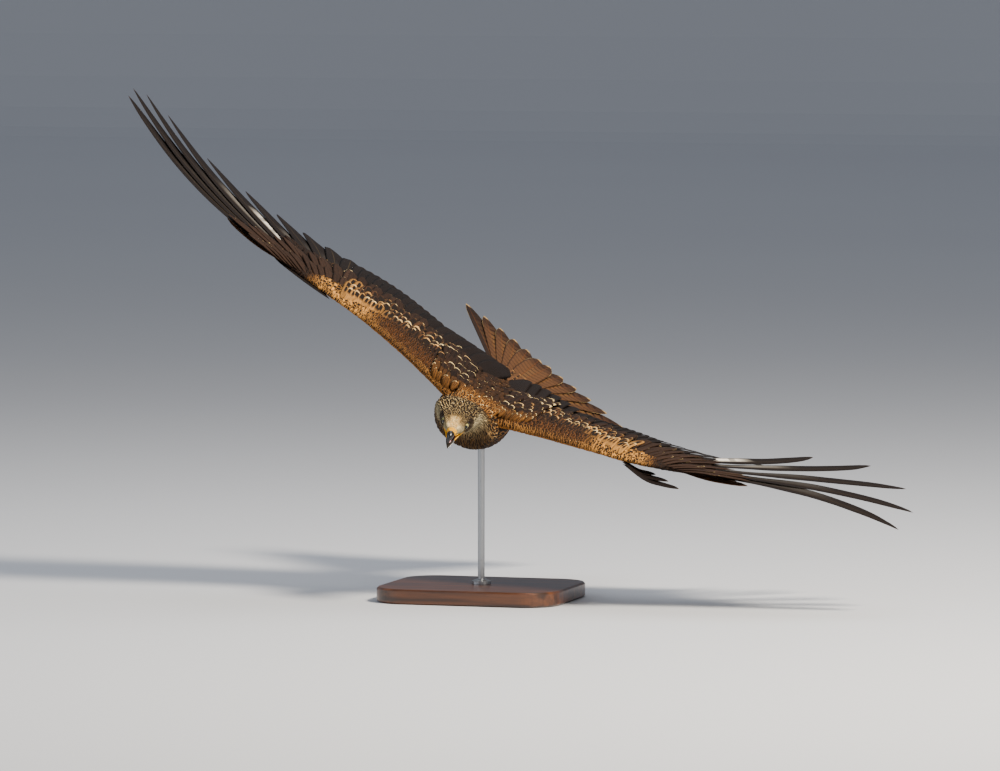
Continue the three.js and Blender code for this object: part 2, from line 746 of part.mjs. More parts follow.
function footSolid(side) {
  const cut = (made, from, along) => made.trimByPlane(along.toArray(), along.dot(from) + GAP);
  const from = mirrored(THIGH.to, side);
  const ankle = mirrored(SHANK.to, side);
  const along = ankle.clone().sub(from).normalize();
  const parts = [limb([from, from.clone().lerp(ankle, 0.5), ankle], SHANK.radius, 10)];
  TOE_LENGTH.forEach((length, i) => {
    const spread = (i - 1) * TOE_SPREAD * side;
    const knuckle = ankle.clone().add(vec(-0.55 * length, spread * length, -3));
    const bend = ankle.clone().add(vec(-0.75 * length, spread * length * 1.3, -14));
    const tip = ankle.clone().add(vec(-0.45 * length, spread * length * 1.1, -22));
    parts.push(limb([ankle, knuckle, bend, tip], TOE_RADIUS, 5));
  });
  const heel = ankle.clone().add(vec(6, 0, -8));
  parts.push(limb([ankle, heel, heel.clone().add(vec(-8, 0, -HIND_TOE * 0.6))], [3.6, 3, 0.6], 5));
  return largest(cut(join(parts), from, along).subtract(clearOfBody));
}

// The stand

function baseSolid() {
  const { length, width, height, corner, bevel } = BASE;
  const [x, y] = [length / 2 - corner, width / 2 - corner];
  const outline = new THREE.Shape();
  outline.absarc(x, y, corner - bevel, 0, Math.PI / 2);
  outline.absarc(-x, y, corner - bevel, Math.PI / 2, Math.PI);
  outline.absarc(-x, -y, corner - bevel, Math.PI, 1.5 * Math.PI);
  outline.absarc(x, -y, corner - bevel, 1.5 * Math.PI, 2 * Math.PI);
  const plate = new THREE.ExtrudeGeometry(outline, {
    depth: height - 2 * bevel,
    bevelThickness: bevel,
    bevelSize: bevel,
    bevelSegments: 1,
    curveSegments: 7,
  });
  plate.translate(0, 0, bevel);
  return solidOf(plate);
}

function rodSolid(birdMatrix) {
  const foot = BASE.height + GAP;
  const profile = [
    [0, foot],
    [ROD.collarRadius, foot],
    [ROD.collarRadius, foot + ROD.collarHeight * 0.6],
    [ROD.radius + 2, foot + ROD.collarHeight],
    [ROD.radius, foot + ROD.collarHeight],
    [ROD.radius, BIRD_HEIGHT],
    [0, BIRD_HEIGHT],
  ].map(([r, z]) => new THREE.Vector2(r, z));
  const rod = new THREE.LatheGeometry(profile, ROD.sides);
  rod.rotateX(Math.PI / 2);
  return largest(solidOf(rod).subtract(moved(clearOfBody, birdMatrix)));
}

// The bird's frame in the world: banked to the left, bill down, heading along -Y.
const birdMatrix = new THREE.Matrix4()
  .makeTranslation(0, -BIRD_AHEAD, BIRD_HEIGHT)
  .multiply(new THREE.Matrix4().makeRotationZ(-Math.PI / 2))
  .multiply(turned(0, PITCH, -BANK));

const COLOURS = {
  base: [0x5b3a22, 0.45, 0],
  rod: [0x9a9da0, 0.35, 0.9],
  head: [0xcfc8bb, 0.85, 0],
  neck: [0xb9763f, 0.85, 0],
  trunk: [0x6e4426, 0.85, 0],
  wing: [0x3a2b22, 0.8, 0],
  tail: [0xb0622f, 0.8, 0],
  thigh: [0x9c5a2e, 0.85, 0],
  foot: [0xd9a520, 0.6, 0],
  cere: [0xe3b420, 0.5, 0],
  horn: [0x1d1b1a, 0.35, 0],
  eye: [0xcfc6a0, 0.08, 0],
  tongue: [0xb5616a, 0.45, 0],
};

const leftWing = wing(1);
const rightWing = wing(-1);
const neck = ahead(ahead(wholeBody, NECK_STARTS, -1), NECK_ENDS, 1);

const PARTS = {
  torso: [ahead(wholeBody, NECK_ENDS, -1), "trunk"],
  neck: [neck, "neck"],
  head: [headSolid(), "head"],
  eye_left: [eyeball(1), "eye"],
  eye_right: [eyeball(-1), "eye"],
  cere: [cereSolid(), "cere"],
  bill_upper: [hornSolid(), "horn"],
  bill_lower: [lowerBillSolid(), "horn"],
  tongue: [tongueSolid(), "tongue"],
  wing_left: [wingSolid(leftWing, THUMB_OUT), "wing"],
  wing_right: [wingSolid(rightWing, THUMB_IN), "wing"],
  tail: [tailSolid(), "tail"],
  thigh_left: [thighSolid(1), "thigh"],
  thigh_right: [thighSolid(-1), "thigh"],
  foot_left: [footSolid(1), "foot"],
  foot_right: [footSolid(-1), "foot"],
};

function meshOf(name, made, colour) {
  const { vertProperties, triVerts, numProp } = made.getMesh();
  const points = new Float32Array((vertProperties.length / numProp) * 3);
  for (let i = 0; i < points.length / 3; i++) {
    for (let j = 0; j < 3; j++) points[i * 3 + j] = vertProperties[i * numProp + j];
  }
  const geometry = new THREE.BufferGeometry();
  geometry.setAttribute("position", new THREE.BufferAttribute(points, 3));
  geometry.setIndex(new THREE.BufferAttribute(new Uint32Array(triVerts), 1));
  geometry.computeVertexNormals();
  const [color, roughness, metalness] = COLOURS[colour];
  const mesh = new THREE.Mesh(geometry, new THREE.MeshStandardMaterial({ color, roughness, metalness }));
  mesh.name = name;
  return mesh;
}

const group = new THREE.Group();
group.name = "red_kite";
group.add(meshOf("stand_base", baseSolid(), "base"));
group.add(meshOf("stand_rod", rodSolid(birdMatrix), "rod"));
Object.entries(PARTS).forEach(([name, [made, colour]]) => {
  group.add(meshOf(name, largest(moved(made, birdMatrix).simplify(0.03)), colour));
});

export default group;
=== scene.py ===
"""A life-size red kite in banked flight, bill open, held over a flat wooden base by one steel rod.

The bird is drawn in its own frame, in millimetres: x forward, y to its left, z up out of its back.
"""
import math

import bpy
import numpy as np
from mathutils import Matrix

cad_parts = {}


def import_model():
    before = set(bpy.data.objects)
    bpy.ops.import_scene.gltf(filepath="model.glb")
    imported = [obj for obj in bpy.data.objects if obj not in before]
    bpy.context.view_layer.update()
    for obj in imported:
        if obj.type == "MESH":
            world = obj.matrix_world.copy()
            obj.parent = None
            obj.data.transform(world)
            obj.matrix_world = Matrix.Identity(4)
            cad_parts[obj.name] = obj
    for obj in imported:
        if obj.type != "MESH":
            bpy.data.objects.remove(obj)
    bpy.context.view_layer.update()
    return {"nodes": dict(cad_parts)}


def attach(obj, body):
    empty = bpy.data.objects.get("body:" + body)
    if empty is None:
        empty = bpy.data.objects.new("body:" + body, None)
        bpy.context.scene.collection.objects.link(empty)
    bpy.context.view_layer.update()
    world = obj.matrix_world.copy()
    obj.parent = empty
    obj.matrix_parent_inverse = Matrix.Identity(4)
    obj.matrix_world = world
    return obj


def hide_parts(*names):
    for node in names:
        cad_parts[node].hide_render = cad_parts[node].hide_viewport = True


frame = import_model()

# Pose of the bird over the stand, and where the origin of its frame is
BANK = 29
PITCH = 9
BIRD_PLACE = (0, -20, 330)

# Skull, neck and trunk: distance back from the face, then half width, height above and depth below
EYES = (163, -1, 17)
HEAD_YAW, HEAD_PITCH, HEAD_ROLL = 11, 11, 13
FACE_TO_EYES = 19
FACE_STARTS = -3.5
NECK_STARTS = 64
BODY_ENDS = 352
ORIGIN_STATION = 185  # where the origin of the bird's frame lies
TRUNK_MIDDLE = [
    (100, (84, -1, 3)), (125, (60, 0, 0)), (160, (25, 0, -1)), (200, (-15, 0, -1)), (352, (-167, 0, 2)),
]
HALF_WIDTH = [
    (-3.5, 8.2), (0, 10), (8, 15), (16, 19.5), (24, 23.5), (36, 29), (50, 35), (64, 42), (80, 48), (100, 54),
    (125, 59), (160, 63), (200, 60), (245, 51), (290, 41), (330, 31), (352, 26),
]
TOP = [
    (-3.5, 5.2), (0, 7.5), (8, 12), (16, 15.5), (24, 18), (36, 20.5), (50, 22.5), (64, 25), (80, 28.5),
    (100, 33), (125, 38), (160, 42), (200, 41), (245, 35), (290, 26), (330, 18), (352, 14),
]
BOTTOM = [
    (-3.5, 9.4), (0, 11), (8, 14), (16, 18), (24, 22), (36, 27), (50, 31), (64, 34.5), (80, 38), (100, 44),
    (125, 49), (160, 53), (200, 54), (245, 48), (290, 37), (330, 26), (352, 19),
]
SIDE_POWER, HEIGHT_POWER = 0.9, 0.95
BROW = dict(start=2, end=36, peak=19, height=3.6, angle=37, spread=17)
COAT_DEPTH = [(-3.5, 0.2), (0, 0.6), (20, 1.2), (50, 2.2), (90, 4), (140, 5), (300, 5), (352, 4)]

# Eyes, bill and mouth, in the head's frame with its origin midway between the eyes
EYE = dict(radius=8.2, x=-4.4, side=15.4, forward=42, opening=7.2, look=9)
BILL_OPEN = 25
JAW_HINGE = (-3, -12)
PALATE = -9.8
CERE = dict(start=19, end=31, width=(8.8, 6.4), top=(5.4, 3.6), bottom=(-9, -9.4))
NOSTRIL = dict(x=26.5, z=0.4, length=2.6, height=1.1, depth=2.2, swell=0.5)
HORN = dict(start=(31, -2.9), bend=(42.5, -2.6), tip=(45.6, -14.6), height=6.5, width=6.4, point=0.35)
JAW = dict(start=17, end=39.5, top=-11, depth=5.4, width=8, point=1.2)
CHIN = dict(start=-16, end=17.5, depth=10)
CHIN_WIDTH = [(-16, 21), (-5, 19.3), (6, 13.2), (18, 8.6)]
TONGUE = dict(start=6, end=29, width=3.6, lift=1.25)
UPPER_LIP = [(-5, 20.2), (2, 16.6), (10, 12.3), (18, 9.2), (24, 7)]
LOWER_LIP = [(-5, 19.8), (2, 15.2), (9, 11.2), (17, 8), (23, 6.4)]
BILL_AHEAD = 0.35

# Wings, drawn flat: x forward, y outward from the bird's middle line
SHOULDER = (45, 22)
WRIST_Y = 290
SPAN = 860
LEADING_EDGE = [
    (20, 62), (45, 64), (100, 68), (150, 75), (250, 99), (290, 106), (330, 107), (400, 100), (600, 72),
    (790, 12),
]
TRAILING_EDGE = [
    (20, -180), (60, -185), (120, -178), (200, -160), (290, -140), (400, -150), (560, -175), (660, -150),
    (790, -60),
]
CAMBER = [(0, 0.055), (290, 0.06), (500, 0.035), (800, 0.01)]
FLESH_CHORD = [(20, 135), (60, 128), (158, 110), (290, 68), (350, 52), (402, 34), (430, 14)]
FLESH_THICKNESS = [(20, 40), (60, 34), (158, 26), (290, 17), (350, 13), (402, 9), (430, 4)]
FLESH_SPAN = (15, 428)
FLESH_FADE = 1.25  # share of the flesh's chord at which the coverts have come down to the flight feathers
PRIMARY_LENGTH = np.array([238, 248, 262, 276, 298, 345, 408, 424, 418, 390])
PRIMARY_ROOT_X, PRIMARY_ROOT_Y = (72, 90), (300, 404)
FIRST_FINGER = 5  # the innermost primary with notched webs, counted from 0 at the wrist
SECONDARIES = dict(
    count=12, x=(62, 6), y=(288, 158), angle=(8, -1), length=(222, 194), width=15, lift=0, shade=1,
    first_strip=10,
)
TERTIALS = dict(
    count=6, x=(4, -8), y=(154, 52), angle=(-2, -9), length=(190, 204), width=17, lift=18, shade=1.15,
    first_strip=22,
)
INNER_WEB = 25
VANE_TILT = 5.5
ARM_REACH = 1.75  # rows of arm coverts run on past the secondaries, to this many times their length
LEFT = dict(
    side=1,
    rise=[(0, 18), (150, 19), (230, 20), (290, 16), (420, 19), (560, 19), (800, 8)],
    twist=[(0, 1.5), (60, 2), (170, 5), (290, 6), (450, 9), (800, 11)],
    forward=24,
    reach=0.985,
    primary_angle=[13, 18, 23, 28, 33, 41, 52, 67, 79, 88],
    primary_lift=[0, 0, 0, 0, 4, 34, 42, 26, -2, -30],
    primary_inner=[27, 42],
    fingers="open",
    finger_twist=15,
    thumb=dict(angle=96, length=109, drop=19),
)
RIGHT = dict(
    side=-1,
    rise=[(0, 15), (200, 14), (290, 6), (420, 5), (560, 12), (800, 27)],
    twist=[(0, 1.2), (150, 2.2), (290, 3.4), (450, 6.5), (800, 9)],
    forward=-20,
    reach=1.045,
    primary_angle=[13, 20, 28, 37, 47, 57, 66, 73, 79, 85],
    primary_lift=[0, 0, 0, 0, 0, 0, 4, 4, 0, -2],
    primary_inner=[34, 42],
    fingers="closed",
    finger_twist=0,
    thumb=dict(angle=82, length=122, drop=0),
)

# Tail and legs
RECTRIX_LENGTH = np.array([298, 304, 314, 329, 348, 370])
RECTRIX_ROOT = 14.0
TAIL_SPREAD = 28
TAIL_ROLL = -9
TAIL_DROOP = 4.5
TAIL_TILT = 7
TAIL_ROOT = (-160, 0, 2)
SIDES = ((1, "left"), (-1, "right"))
THIGH = dict(start=(-42, 24, -44), end=(-112, 23, -45), radius=(21, 18, 9))
SHANK = dict(end=(-160, 19, -38), radius=(7.5, 4.4, 4.4))
TOE_LENGTH = (30, 36, 28)
TOE_SPREAD = 0.32
HIND_TOE = 20

# Small feathers: length and half width by distance from the face, and the mantle's half width from the nape
FEATHER_LENGTH = [
    (-3, 2.6), (0, 3.2), (14, 6.5), (30, 12), (50, 17), (64, 19), (90, 24), (125, 30), (200, 34), (352, 42),
]
FEATHER_WIDTH = [
    (-3, 0.6), (0, 0.75), (14, 1.2), (30, 2.2), (50, 2.9), (64, 3.3), (90, 4.4), (125, 6.5), (200, 9),
    (352, 9),
]
MANTLE_WIDTH = [(-6, 4.2), (40, 5.5), (100, 8), (200, 9.5)]

# Outlines of a vane: place along the shaft, and share of the full half width there
ROUND_VANE = [(0, 0.16), (0.14, 0.55), (0.4, 1), (0.75, 0.97), (0.9, 0.72), (1, 0.1)]
LANCE_VANE = [(0, 0.2), (0.25, 0.9), (0.5, 1), (0.8, 0.55), (1, 0.04)]
SOFT_VANE = [(0, 0.2), (0.3, 0.9), (0.6, 1), (0.85, 0.72), (1, 0.06)]
FINGER_OUTER = dict(
    open=[(0, 0.16), (0.14, 0.6), (0.44, 1), (0.58, 0.66), (0.9, 0.52), (1, 0.08)],
    closed=[(0, 0.16), (0.14, 0.6), (0.4, 1), (0.62, 0.95), (0.8, 0.62), (0.93, 0.45), (1, 0.08)],
)
FINGER_INNER = dict(
    open=[
        (0, 0.16), (0.14, 0.6), (0.28, 0.95), (0.4, 1), (0.54, 0.76), (0.66, 0.54), (0.86, 0.44),
        (0.95, 0.26), (1, 0.05),
    ],
    closed=[(0, 0.16), (0.14, 0.6), (0.4, 1), (0.66, 1), (0.86, 0.8), (0.95, 0.46), (1, 0.05)],
)

# Small moves in the two places of a surface, over which its slopes are measured
BODY_STEPS = (0.5, 0.02)
WING_STEPS = (0.001, 0.5)
BACK_STEPS = (4, 4)
BACK_SHAFT_STEPS = (2, 2)

# The back's table: how far apart its places are, and where its rows of feathers start
BACK_GRID = (5, 4)
NAPE_X = 90

# Bake map: millimetres across it, the size of one small feather's patch, and strips for the long feathers
MAP_SIZE = 360
MAP_PATCH = 0.003
WING_STRIPS = 34
TAIL_STRIPS = 14

# Camera, at the photograph's angle, and the gap between stand and floor, in metres
CAMERA_AZIMUTH = 16.5
CAMERA_ELEVATION = 4
CAMERA_DISTANCE = 12
LENS = 248.4
AIM_RIGHT = 0.0383
AIM_UP = 0.0443
FLOOR_GAP = 0.0003

rng = np.random.default_rng(11)


# Curves, turns and frames


def smoothstep(x, low, high):
    """0 below low, 1 above high, and the cubic 3t^2 - 2t^3 between them."""
    t = np.clip((x - low) / (high - low), 0, 1)
    return t * t * (3 - 2 * t)


def lerp(a, b, t):
    """The straight mix a + (b - a) t."""
    return a + (b - a) * t


def circle(count):
    """Equal angles once round."""
    return np.linspace(0, 2 * math.pi, count, endpoint=False)


def through(pairs):
    """A smooth curve through (place, value) pairs, flat beyond its ends.

    Between two pairs it is the cubic whose end slopes are those of the lines between their own neighbours.
    """
    x, y = np.array(pairs, float).T
    before = np.maximum(np.arange(len(x)) - 1, 0)
    after = np.minimum(np.arange(len(x)) + 1, len(x) - 1)
    slope = (y[after] - y[before]) / (x[after] - x[before])

    def curve(at):
        at = np.clip(at, x[0], x[-1])
        i = np.clip(np.searchsorted(x, at, side="right") - 1, 0, len(x) - 2)
        w = x[i + 1] - x[i]
        t = (at - x[i]) / w
        ends = (2 * t**3 - 3 * t**2 + 1) * y[i] + (3 * t**2 - 2 * t**3) * y[i + 1]
        return ends + ((t**3 - 2 * t**2 + t) * slope[i] + (t**3 - t**2) * slope[i + 1]) * w

    return curve


def turned(points, yaw, pitch, roll):
    """Points turned in degrees: left side up by roll, then bill down by pitch, then to the left by yaw."""
    x, y, z = np.moveaxis(np.asarray(points, float), -1, 0)
    a, b, c = (np.radians(angle) for angle in (roll, pitch, yaw))
    y, z = y * np.cos(a) - z * np.sin(a), y * np.sin(a) + z * np.cos(a)
    x, z = x * np.cos(b) + z * np.sin(b), z * np.cos(b) - x * np.sin(b)
    x, y = x * np.cos(c) - y * np.sin(c), x * np.sin(c) + y * np.cos(c)
    return np.stack([x, y, z], -1)


def unturned(points, yaw, pitch, roll):
    """Points with those turns undone, in the opposite order."""
    return turned(turned(turned(points, -yaw, 0, 0), 0, -pitch, 0), 0, 0, -roll)


def world(points):
    """Points of the bird's frame in the frame of the stand, in metres."""
    return (turned(points, -90, PITCH, -BANK) + BIRD_PLACE) * 0.001


def from_world(points):
    """Points of the stand's frame, in metres, back in the bird's frame."""
    return unturned(points * 1000 - BIRD_PLACE, -90, PITCH, -BANK)


head_origin = np.array(EYES, float)
jaw_hinge = np.array([JAW_HINGE[0], 0, JAW_HINGE[1]])


def from_head(points):
    """Points of the head's frame in the bird's frame."""
    return turned(points, HEAD_YAW, HEAD_PITCH, HEAD_ROLL) + head_origin


def to_head(points):
    """Points of the bird's frame in the head's frame."""
    return unturned(points - head_origin, HEAD_YAW, HEAD_PITCH, HEAD_ROLL)


def from_jaw(points):
    """Points of the open jaw's frame, which turns about the hinge, in the bird's frame."""
    return from_head(turned(points - jaw_hinge, 0, BILL_OPEN, 0) + jaw_hinge)


def mirrored(point, side):
    """A point on the left side or its mirror image on the right."""
    return np.array([point[0], side * point[1], point[2]], float)


def unit(v):
    """Each vector divided by its length."""
    return v / np.maximum(np.linalg.norm(v, axis=-1, keepdims=True), 1e-9)


# Meshes and pieces


def grid_faces(rows, columns):
    """The quads of a grid that is closed round its columns."""
    k, i = np.mgrid[0 : rows - 1, 0:columns]
    j = (i + 1) % columns
    quads = np.stack([k * columns + i, k * columns + j, (k + 1) * columns + j, (k + 1) * columns + i], -1)
    return quads.reshape(-1, 4)


def end_fans(rows, columns):
    """Triangles that close such a grid's ends, round two more points that come after the grid's own."""
    i = np.arange(columns)
    j = (i + 1) % columns
    last = (rows - 1) * columns
    first_fan = np.stack([np.full(columns, rows * columns), j, i], -1)
    last_fan = np.stack([np.full(columns, rows * columns + 1), last + i, last + j], -1)
    return np.concatenate([first_fan, last_fan])


def capped(rings):
    """Rings of points joined into one closed surface, each end closed by a fan round its middle."""
    rows, columns, _ = rings.shape
    points = np.concatenate([rings.reshape(-1, 3), rings[0].mean(0)[None], rings[-1].mean(0)[None]])
    return points, grid_faces(rows, columns), end_fans(rows, columns)


def outward(points, quads, triangles):
    """Quads and triangles with their order reversed if together they enclose a negative volume."""
    halves = np.concatenate([quads[:, [0, 1, 2]], quads[:, [0, 2, 3]], triangles])
    a, b, c = (points[halves[:, i]] for i in range(3))
    if np.einsum("ij,ij->", a - points.mean(0), np.cross(b - a, c - a)) < 0:
        return quads[:, ::-1], triangles[:, ::-1]
    return quads, triangles


def new_mesh(name, points, quads, triangles):
    """A smooth mesh object from arrays of points in metres, quads and triangles."""
    quads, triangles = outward(points, quads, triangles)
    mesh = bpy.data.meshes.new(name)
    mesh.vertices.add(len(points))
    mesh.vertices.foreach_set("co", np.asarray(points, np.float32).ravel())
    corners = np.concatenate([quads.ravel(), triangles.ravel()])
    starts = np.concatenate([np.arange(len(quads)) * 4, len(quads) * 4 + np.arange(len(triangles)) * 3])
    mesh.loops.add(len(corners))
    mesh.loops.foreach_set("vertex_index", corners.astype(np.int32))
    mesh.polygons.add(len(starts))
    mesh.polygons.foreach_set("loop_start", starts.astype(np.int32))
    mesh.update(calc_edges=True)
    mesh.polygons.foreach_set("use_smooth", np.full(len(starts), True))
    made = bpy.data.objects.new(name, mesh)
    bpy.context.collection.objects.link(made)
    return made


def solid(name, *shapes):
    """A mesh object of closed shapes, each given as rings of points in the bird's frame."""
    points, quads, triangles, start = [], [], [], 0
    for rings in shapes:
        own, own_quads, own_triangles = capped(rings)
        own_quads, own_triangles = outward(own, own_quads, own_triangles)
        points.append(own)
        quads.append(own_quads + start)
        triangles.append(own_triangles + start)
        start += len(own)
    return new_mesh(name, world(np.concatenate(points)), np.concatenate(quads), np.concatenate(triangles))


def add_map(made, name, place):
    """A UV map that gives each corner the two numbers of its vertex."""
    mesh = made.data
    corner = np.empty(len(mesh.loops), np.int32)
    mesh.loops.foreach_get("vertex_index", corner)
    layer = mesh.uv_layers.new(name=name)
    layer.uv.foreach_set("vector", np.asarray(place, np.float32)[corner].ravel())


def add_colour(made, name, colour):
    """A colour kept at each vertex."""
    layer = made.data.color_attributes.new(name, "FLOAT_COLOR", "POINT")
    rgba = np.ones((len(made.data.vertices), 4), np.float32)
    rgba[:, :3] = colour
    layer.data.foreach_set("color", rgba.ravel())


def finish(made, material, slot, *nodes):
    """The piece gets its material, rides with the model and stands for those nodes."""
    made.data.materials.append(material)
    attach(made, "root")
    if nodes:
        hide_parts(*nodes)
    return made


# Surfaces that feathers lie on: each takes two places and a height, and gives points of the bird's frame


def raised(bare, p, q, h, steps):
    """A surface's point moved by h along its normal, the cross product of its two slopes."""
    along = bare(p + steps[0], q) - bare(p - steps[0], q)
    across = bare(p, q + steps[1]) - bare(p, q - steps[1])
    return bare(p, q) + unit(np.cross(across, along)) * np.asarray(h)[..., None]


face_middle = [
    (s, tuple(from_head(np.array([FACE_TO_EYES - s, 0, 0.0])))) for s in (FACE_STARTS, 0, 16, 36, NECK_STARTS)
]
middle_line = [through([(s, p[axis]) for s, p in face_middle + TRUNK_MIDDLE]) for axis in range(3)]
half_width, body_top, body_bottom, coat_depth = (through(t) for t in (HALF_WIDTH, TOP, BOTTOM, COAT_DEPTH))


def body_skin(s, angle, grow=0.0):
    """The body's surface, s back from the face and angle up from the left side.

    Each section is an oval, its cosine to the side power times the half width and its sine to the height
    power times the height, with a ridge over each eye, turned with the head and less and less down the neck.
    """
    s, angle = np.broadcast_arrays(s, angle)
    up, side = np.sin(angle), np.cos(angle)
    from_brow = np.abs(np.degrees(np.arctan2(up, np.abs(side))) - BROW["angle"]) / BROW["spread"]
    along = smoothstep(s, BROW["start"], BROW["peak"]) * (1 - smoothstep(s, BROW["peak"], BROW["end"]))
    brow = np.where((up > 0) & (from_brow < 1), BROW["height"] * (1 - from_brow**2) * along, 0)
    height = np.where(up > 0, body_top(s), body_bottom(s))
    y = np.sign(side) * np.abs(side) ** SIDE_POWER * (half_width(s) + grow + brow)
    z = np.sign(up) * np.abs(up) ** HEIGHT_POWER * (height + grow + brow)
    k = 1 - smoothstep(s, 50, 110)
    section = turned(np.stack([np.zeros_like(y), y, z], -1), HEAD_YAW * k, HEAD_PITCH * k, HEAD_ROLL * k)
    return section + np.stack([f(s) for f in middle_line], -1)


def body_cover(s, angle, h):
    """The body's surface raised by h."""
    return raised(body_skin, s, angle, -np.asarray(h), BODY_STEPS)


chin_half_width = through(CHIN_WIDTH)


def chin_skin(back, angle, grow=0.0):
    """The lower jaw's surface: half ovals that narrow forward, in the open jaw's frame.

    back is measured from the root of the lower bill.
    """
    back, angle = np.broadcast_arrays(back, angle)
    x = CHIN["end"] - back
    t = (x - CHIN["start"]) / (JAW["start"] - CHIN["start"])
    down = lerp(CHIN["depth"], JAW["depth"] + 1.2, t) + grow
    z = JAW["top"] + np.where(np.sin(angle) > 0, 3, down) * np.sin(angle)
    return from_jaw(np.stack([x, (chin_half_width(x) + grow) * np.cos(angle), z], -1))


def chin_cover(back, angle, h):
    """The lower jaw's surface raised by h."""
    return raised(chin_skin, back, angle, -np.asarray(h), BODY_STEPS)


class Wing:
    """One wing's surface: a flat drawing that keeps its length and bends up by the rise at each place."""

    def __init__(self, pose):
        self.pose = pose
        self.side = pose["side"]
        self.rise, self.twist = through(pose["rise"]), through(pose["twist"])
        self.lead, self.trail, self.camber = through(LEADING_EDGE), through(TRAILING_EDGE), through(CAMBER)
        self.chord, self.thick = through(FLESH_CHORD), through(FLESH_THICKNESS)
        spacing = 5.0
        self.places = np.arange(SHOULDER[0], SPAN + spacing, spacing)
        slope = np.radians(self.rise(self.places[:-1]))
        step = spacing * pose["reach"]
        self.span_y = SHOULDER[0] + np.concatenate([[0], np.cumsum(step * np.cos(slope))])
        self.span_z = SHOULDER[1] + np.concatenate([[0], np.cumsum(step * np.sin(slope))])

    def place(self, x, y, h):
        """A point of the drawing, h above its cambered sheet.

        The camber is a parabola over the chord, and the twist tips the sheet about its leading edge.
        """
        slope = np.radians(self.rise(y))
        chord = self.lead(y) - self.trail(y)
        back = self.lead(y) - x
        u = back / chord
        arch = np.where(u < 1, 4 * u * (1 - u), -2 * (u - 1))
        up = h + self.camber(y) * chord * np.maximum(arch, -1) - back * np.tan(np.radians(self.twist(y)))
        inner = np.minimum(y - SHOULDER[0], 0)
        span_y = np.interp(y, self.places, self.span_y) + inner * np.cos(slope)
        span_z = np.interp(y, self.places, self.span_z) + inner * np.sin(slope)
        swept = x + self.pose["forward"] * np.clip((y - SHOULDER[0]) / (WRIST_Y - SHOULDER[0]), 0, 1)
        return np.stack([swept, self.side * (span_y - up * np.sin(slope)), span_z + up * np.cos(slope)], -1)

    def sheet(self, p, q, h):
        """The cambered sheet as a surface for long feathers, its first place measured backward."""
        return self.place(-p, q, h)

    def skin(self, a, y, grow=0.0):
        """The flesh, a round its section from 0 at the front.

        It lies u = (1 - cos a) / 2 of its chord back, and sin a (1.15 - 0.75 u) of half its thickness high.
        """
        u = (1 - np.cos(a)) / 2
        full = np.sin(a) * (1.15 - 0.75 * u)
        height = (full * 0.5 - 0.12) * self.thick(y) + grow * np.sin(a)
        return self.place(self.lead(y) - u * self.chord(y) + grow * np.cos(a), y, height)

    def cover(self, upper):
        """The surface under the coverts of one face, from the leading edge (0) back to the trailing edge (1).

        The distance back is the square of the first place, so that the surface turns smoothly round the edge,
        and the height is that of the flesh, fading to a thin layer over the flight feathers.
        """
        sign = 1 if upper else -1

        def bare(p, y):
            chord = self.lead(y) - self.trail(y)
            fade = self.chord(y) * FLESH_FADE
            back = np.abs(p * np.abs(p) * chord)
            v = np.clip(back / fade, 0, 1)
            full = 2 * p * np.sqrt(chord / fade) * (1.15 - 0.8 * v) * (1 - v) ** 0.8
            rim = 2.2 * smoothstep(np.abs(p), 0.15, 0.45)
            height = sign * (full * self.thick(y) * 0.46 + rim) - 0.12 * self.thick(y) * (1 - v)
            return self.place(self.lead(y) - back, y, height)

        return lambda p, y, h: raised(bare, p, y, h * self.side * sign, WING_STEPS)


left_wing, right_wing = Wing(LEFT), Wing(RIGHT)


def back_heights(wing):
    """A table of the heights over the back on one side, where the trunk passes into the wing.

    Each is a soft maximum of the trunk's top and the wing's upper face, half their sum plus half the root of
    their difference squared and a small square that rounds the fold between them.
    """
    x = np.arange(-260.0, 100.0, BACK_GRID[0])[:, None]
    y = np.arange(0.0, 170.0, BACK_GRID[1])[None, :]
    s = ORIGIN_STATION - x
    share = np.clip(np.abs(y) / half_width(s), 0, 1)
    trunk = middle_line[2](s) + body_top(s) * (1 - share ** (2 / SIDE_POWER)) ** (HEIGHT_POWER / 2)
    trunk = trunk - np.maximum(np.abs(y) - half_width(s), 0) * 2
    flat_y = np.arange(-20.0, 260.0, BACK_GRID[1])[None, :]
    v = np.clip((wing.lead(flat_y) - x) / (wing.chord(flat_y) * FLESH_FADE), 0, 1)
    height = wing.thick(flat_y) * (0.92 * np.sqrt(v) * (1.15 - 0.8 * v) * (1 - v) ** 0.8 - 0.12 * (1 - v)) + 4
    sheet = wing.place(x + 0 * flat_y, flat_y + 0 * x, height)
    over = np.array([np.interp(y[0], row[:, 1] * wing.side, row[:, 2]) for row in sheet])
    over = over - 200 * smoothstep(x, 60, 100)
    fold = 14
    return x[:, 0], y[0], 0.5 * (trunk + over + np.sqrt((trunk - over) ** 2 + fold**2))


def back_cover(wing):
    """The surface over the back and the wing's root on one side, p back from the neck and q outward."""
    xs, ys, heights = back_heights(wing)

    def bare(p, q):
        x = NAPE_X - p
        i = np.clip((x - xs[0]) / BACK_GRID[0], 0, len(xs) - 1.001)
        j = np.clip(np.abs(q) / BACK_GRID[1], 0, len(ys) - 1.001)
        a, b = i.astype(int), j.astype(int)
        low = lerp(heights[a, b], heights[a + 1, b], i - a)
        high = lerp(heights[a, b + 1], heights[a + 1, b + 1], i - a)
        return np.stack([x, wing.side * q, lerp(low, high, j - b)], -1)

    return lambda p, q, h: raised(bare, p, q, np.asarray(h) * wing.side, BACK_STEPS)


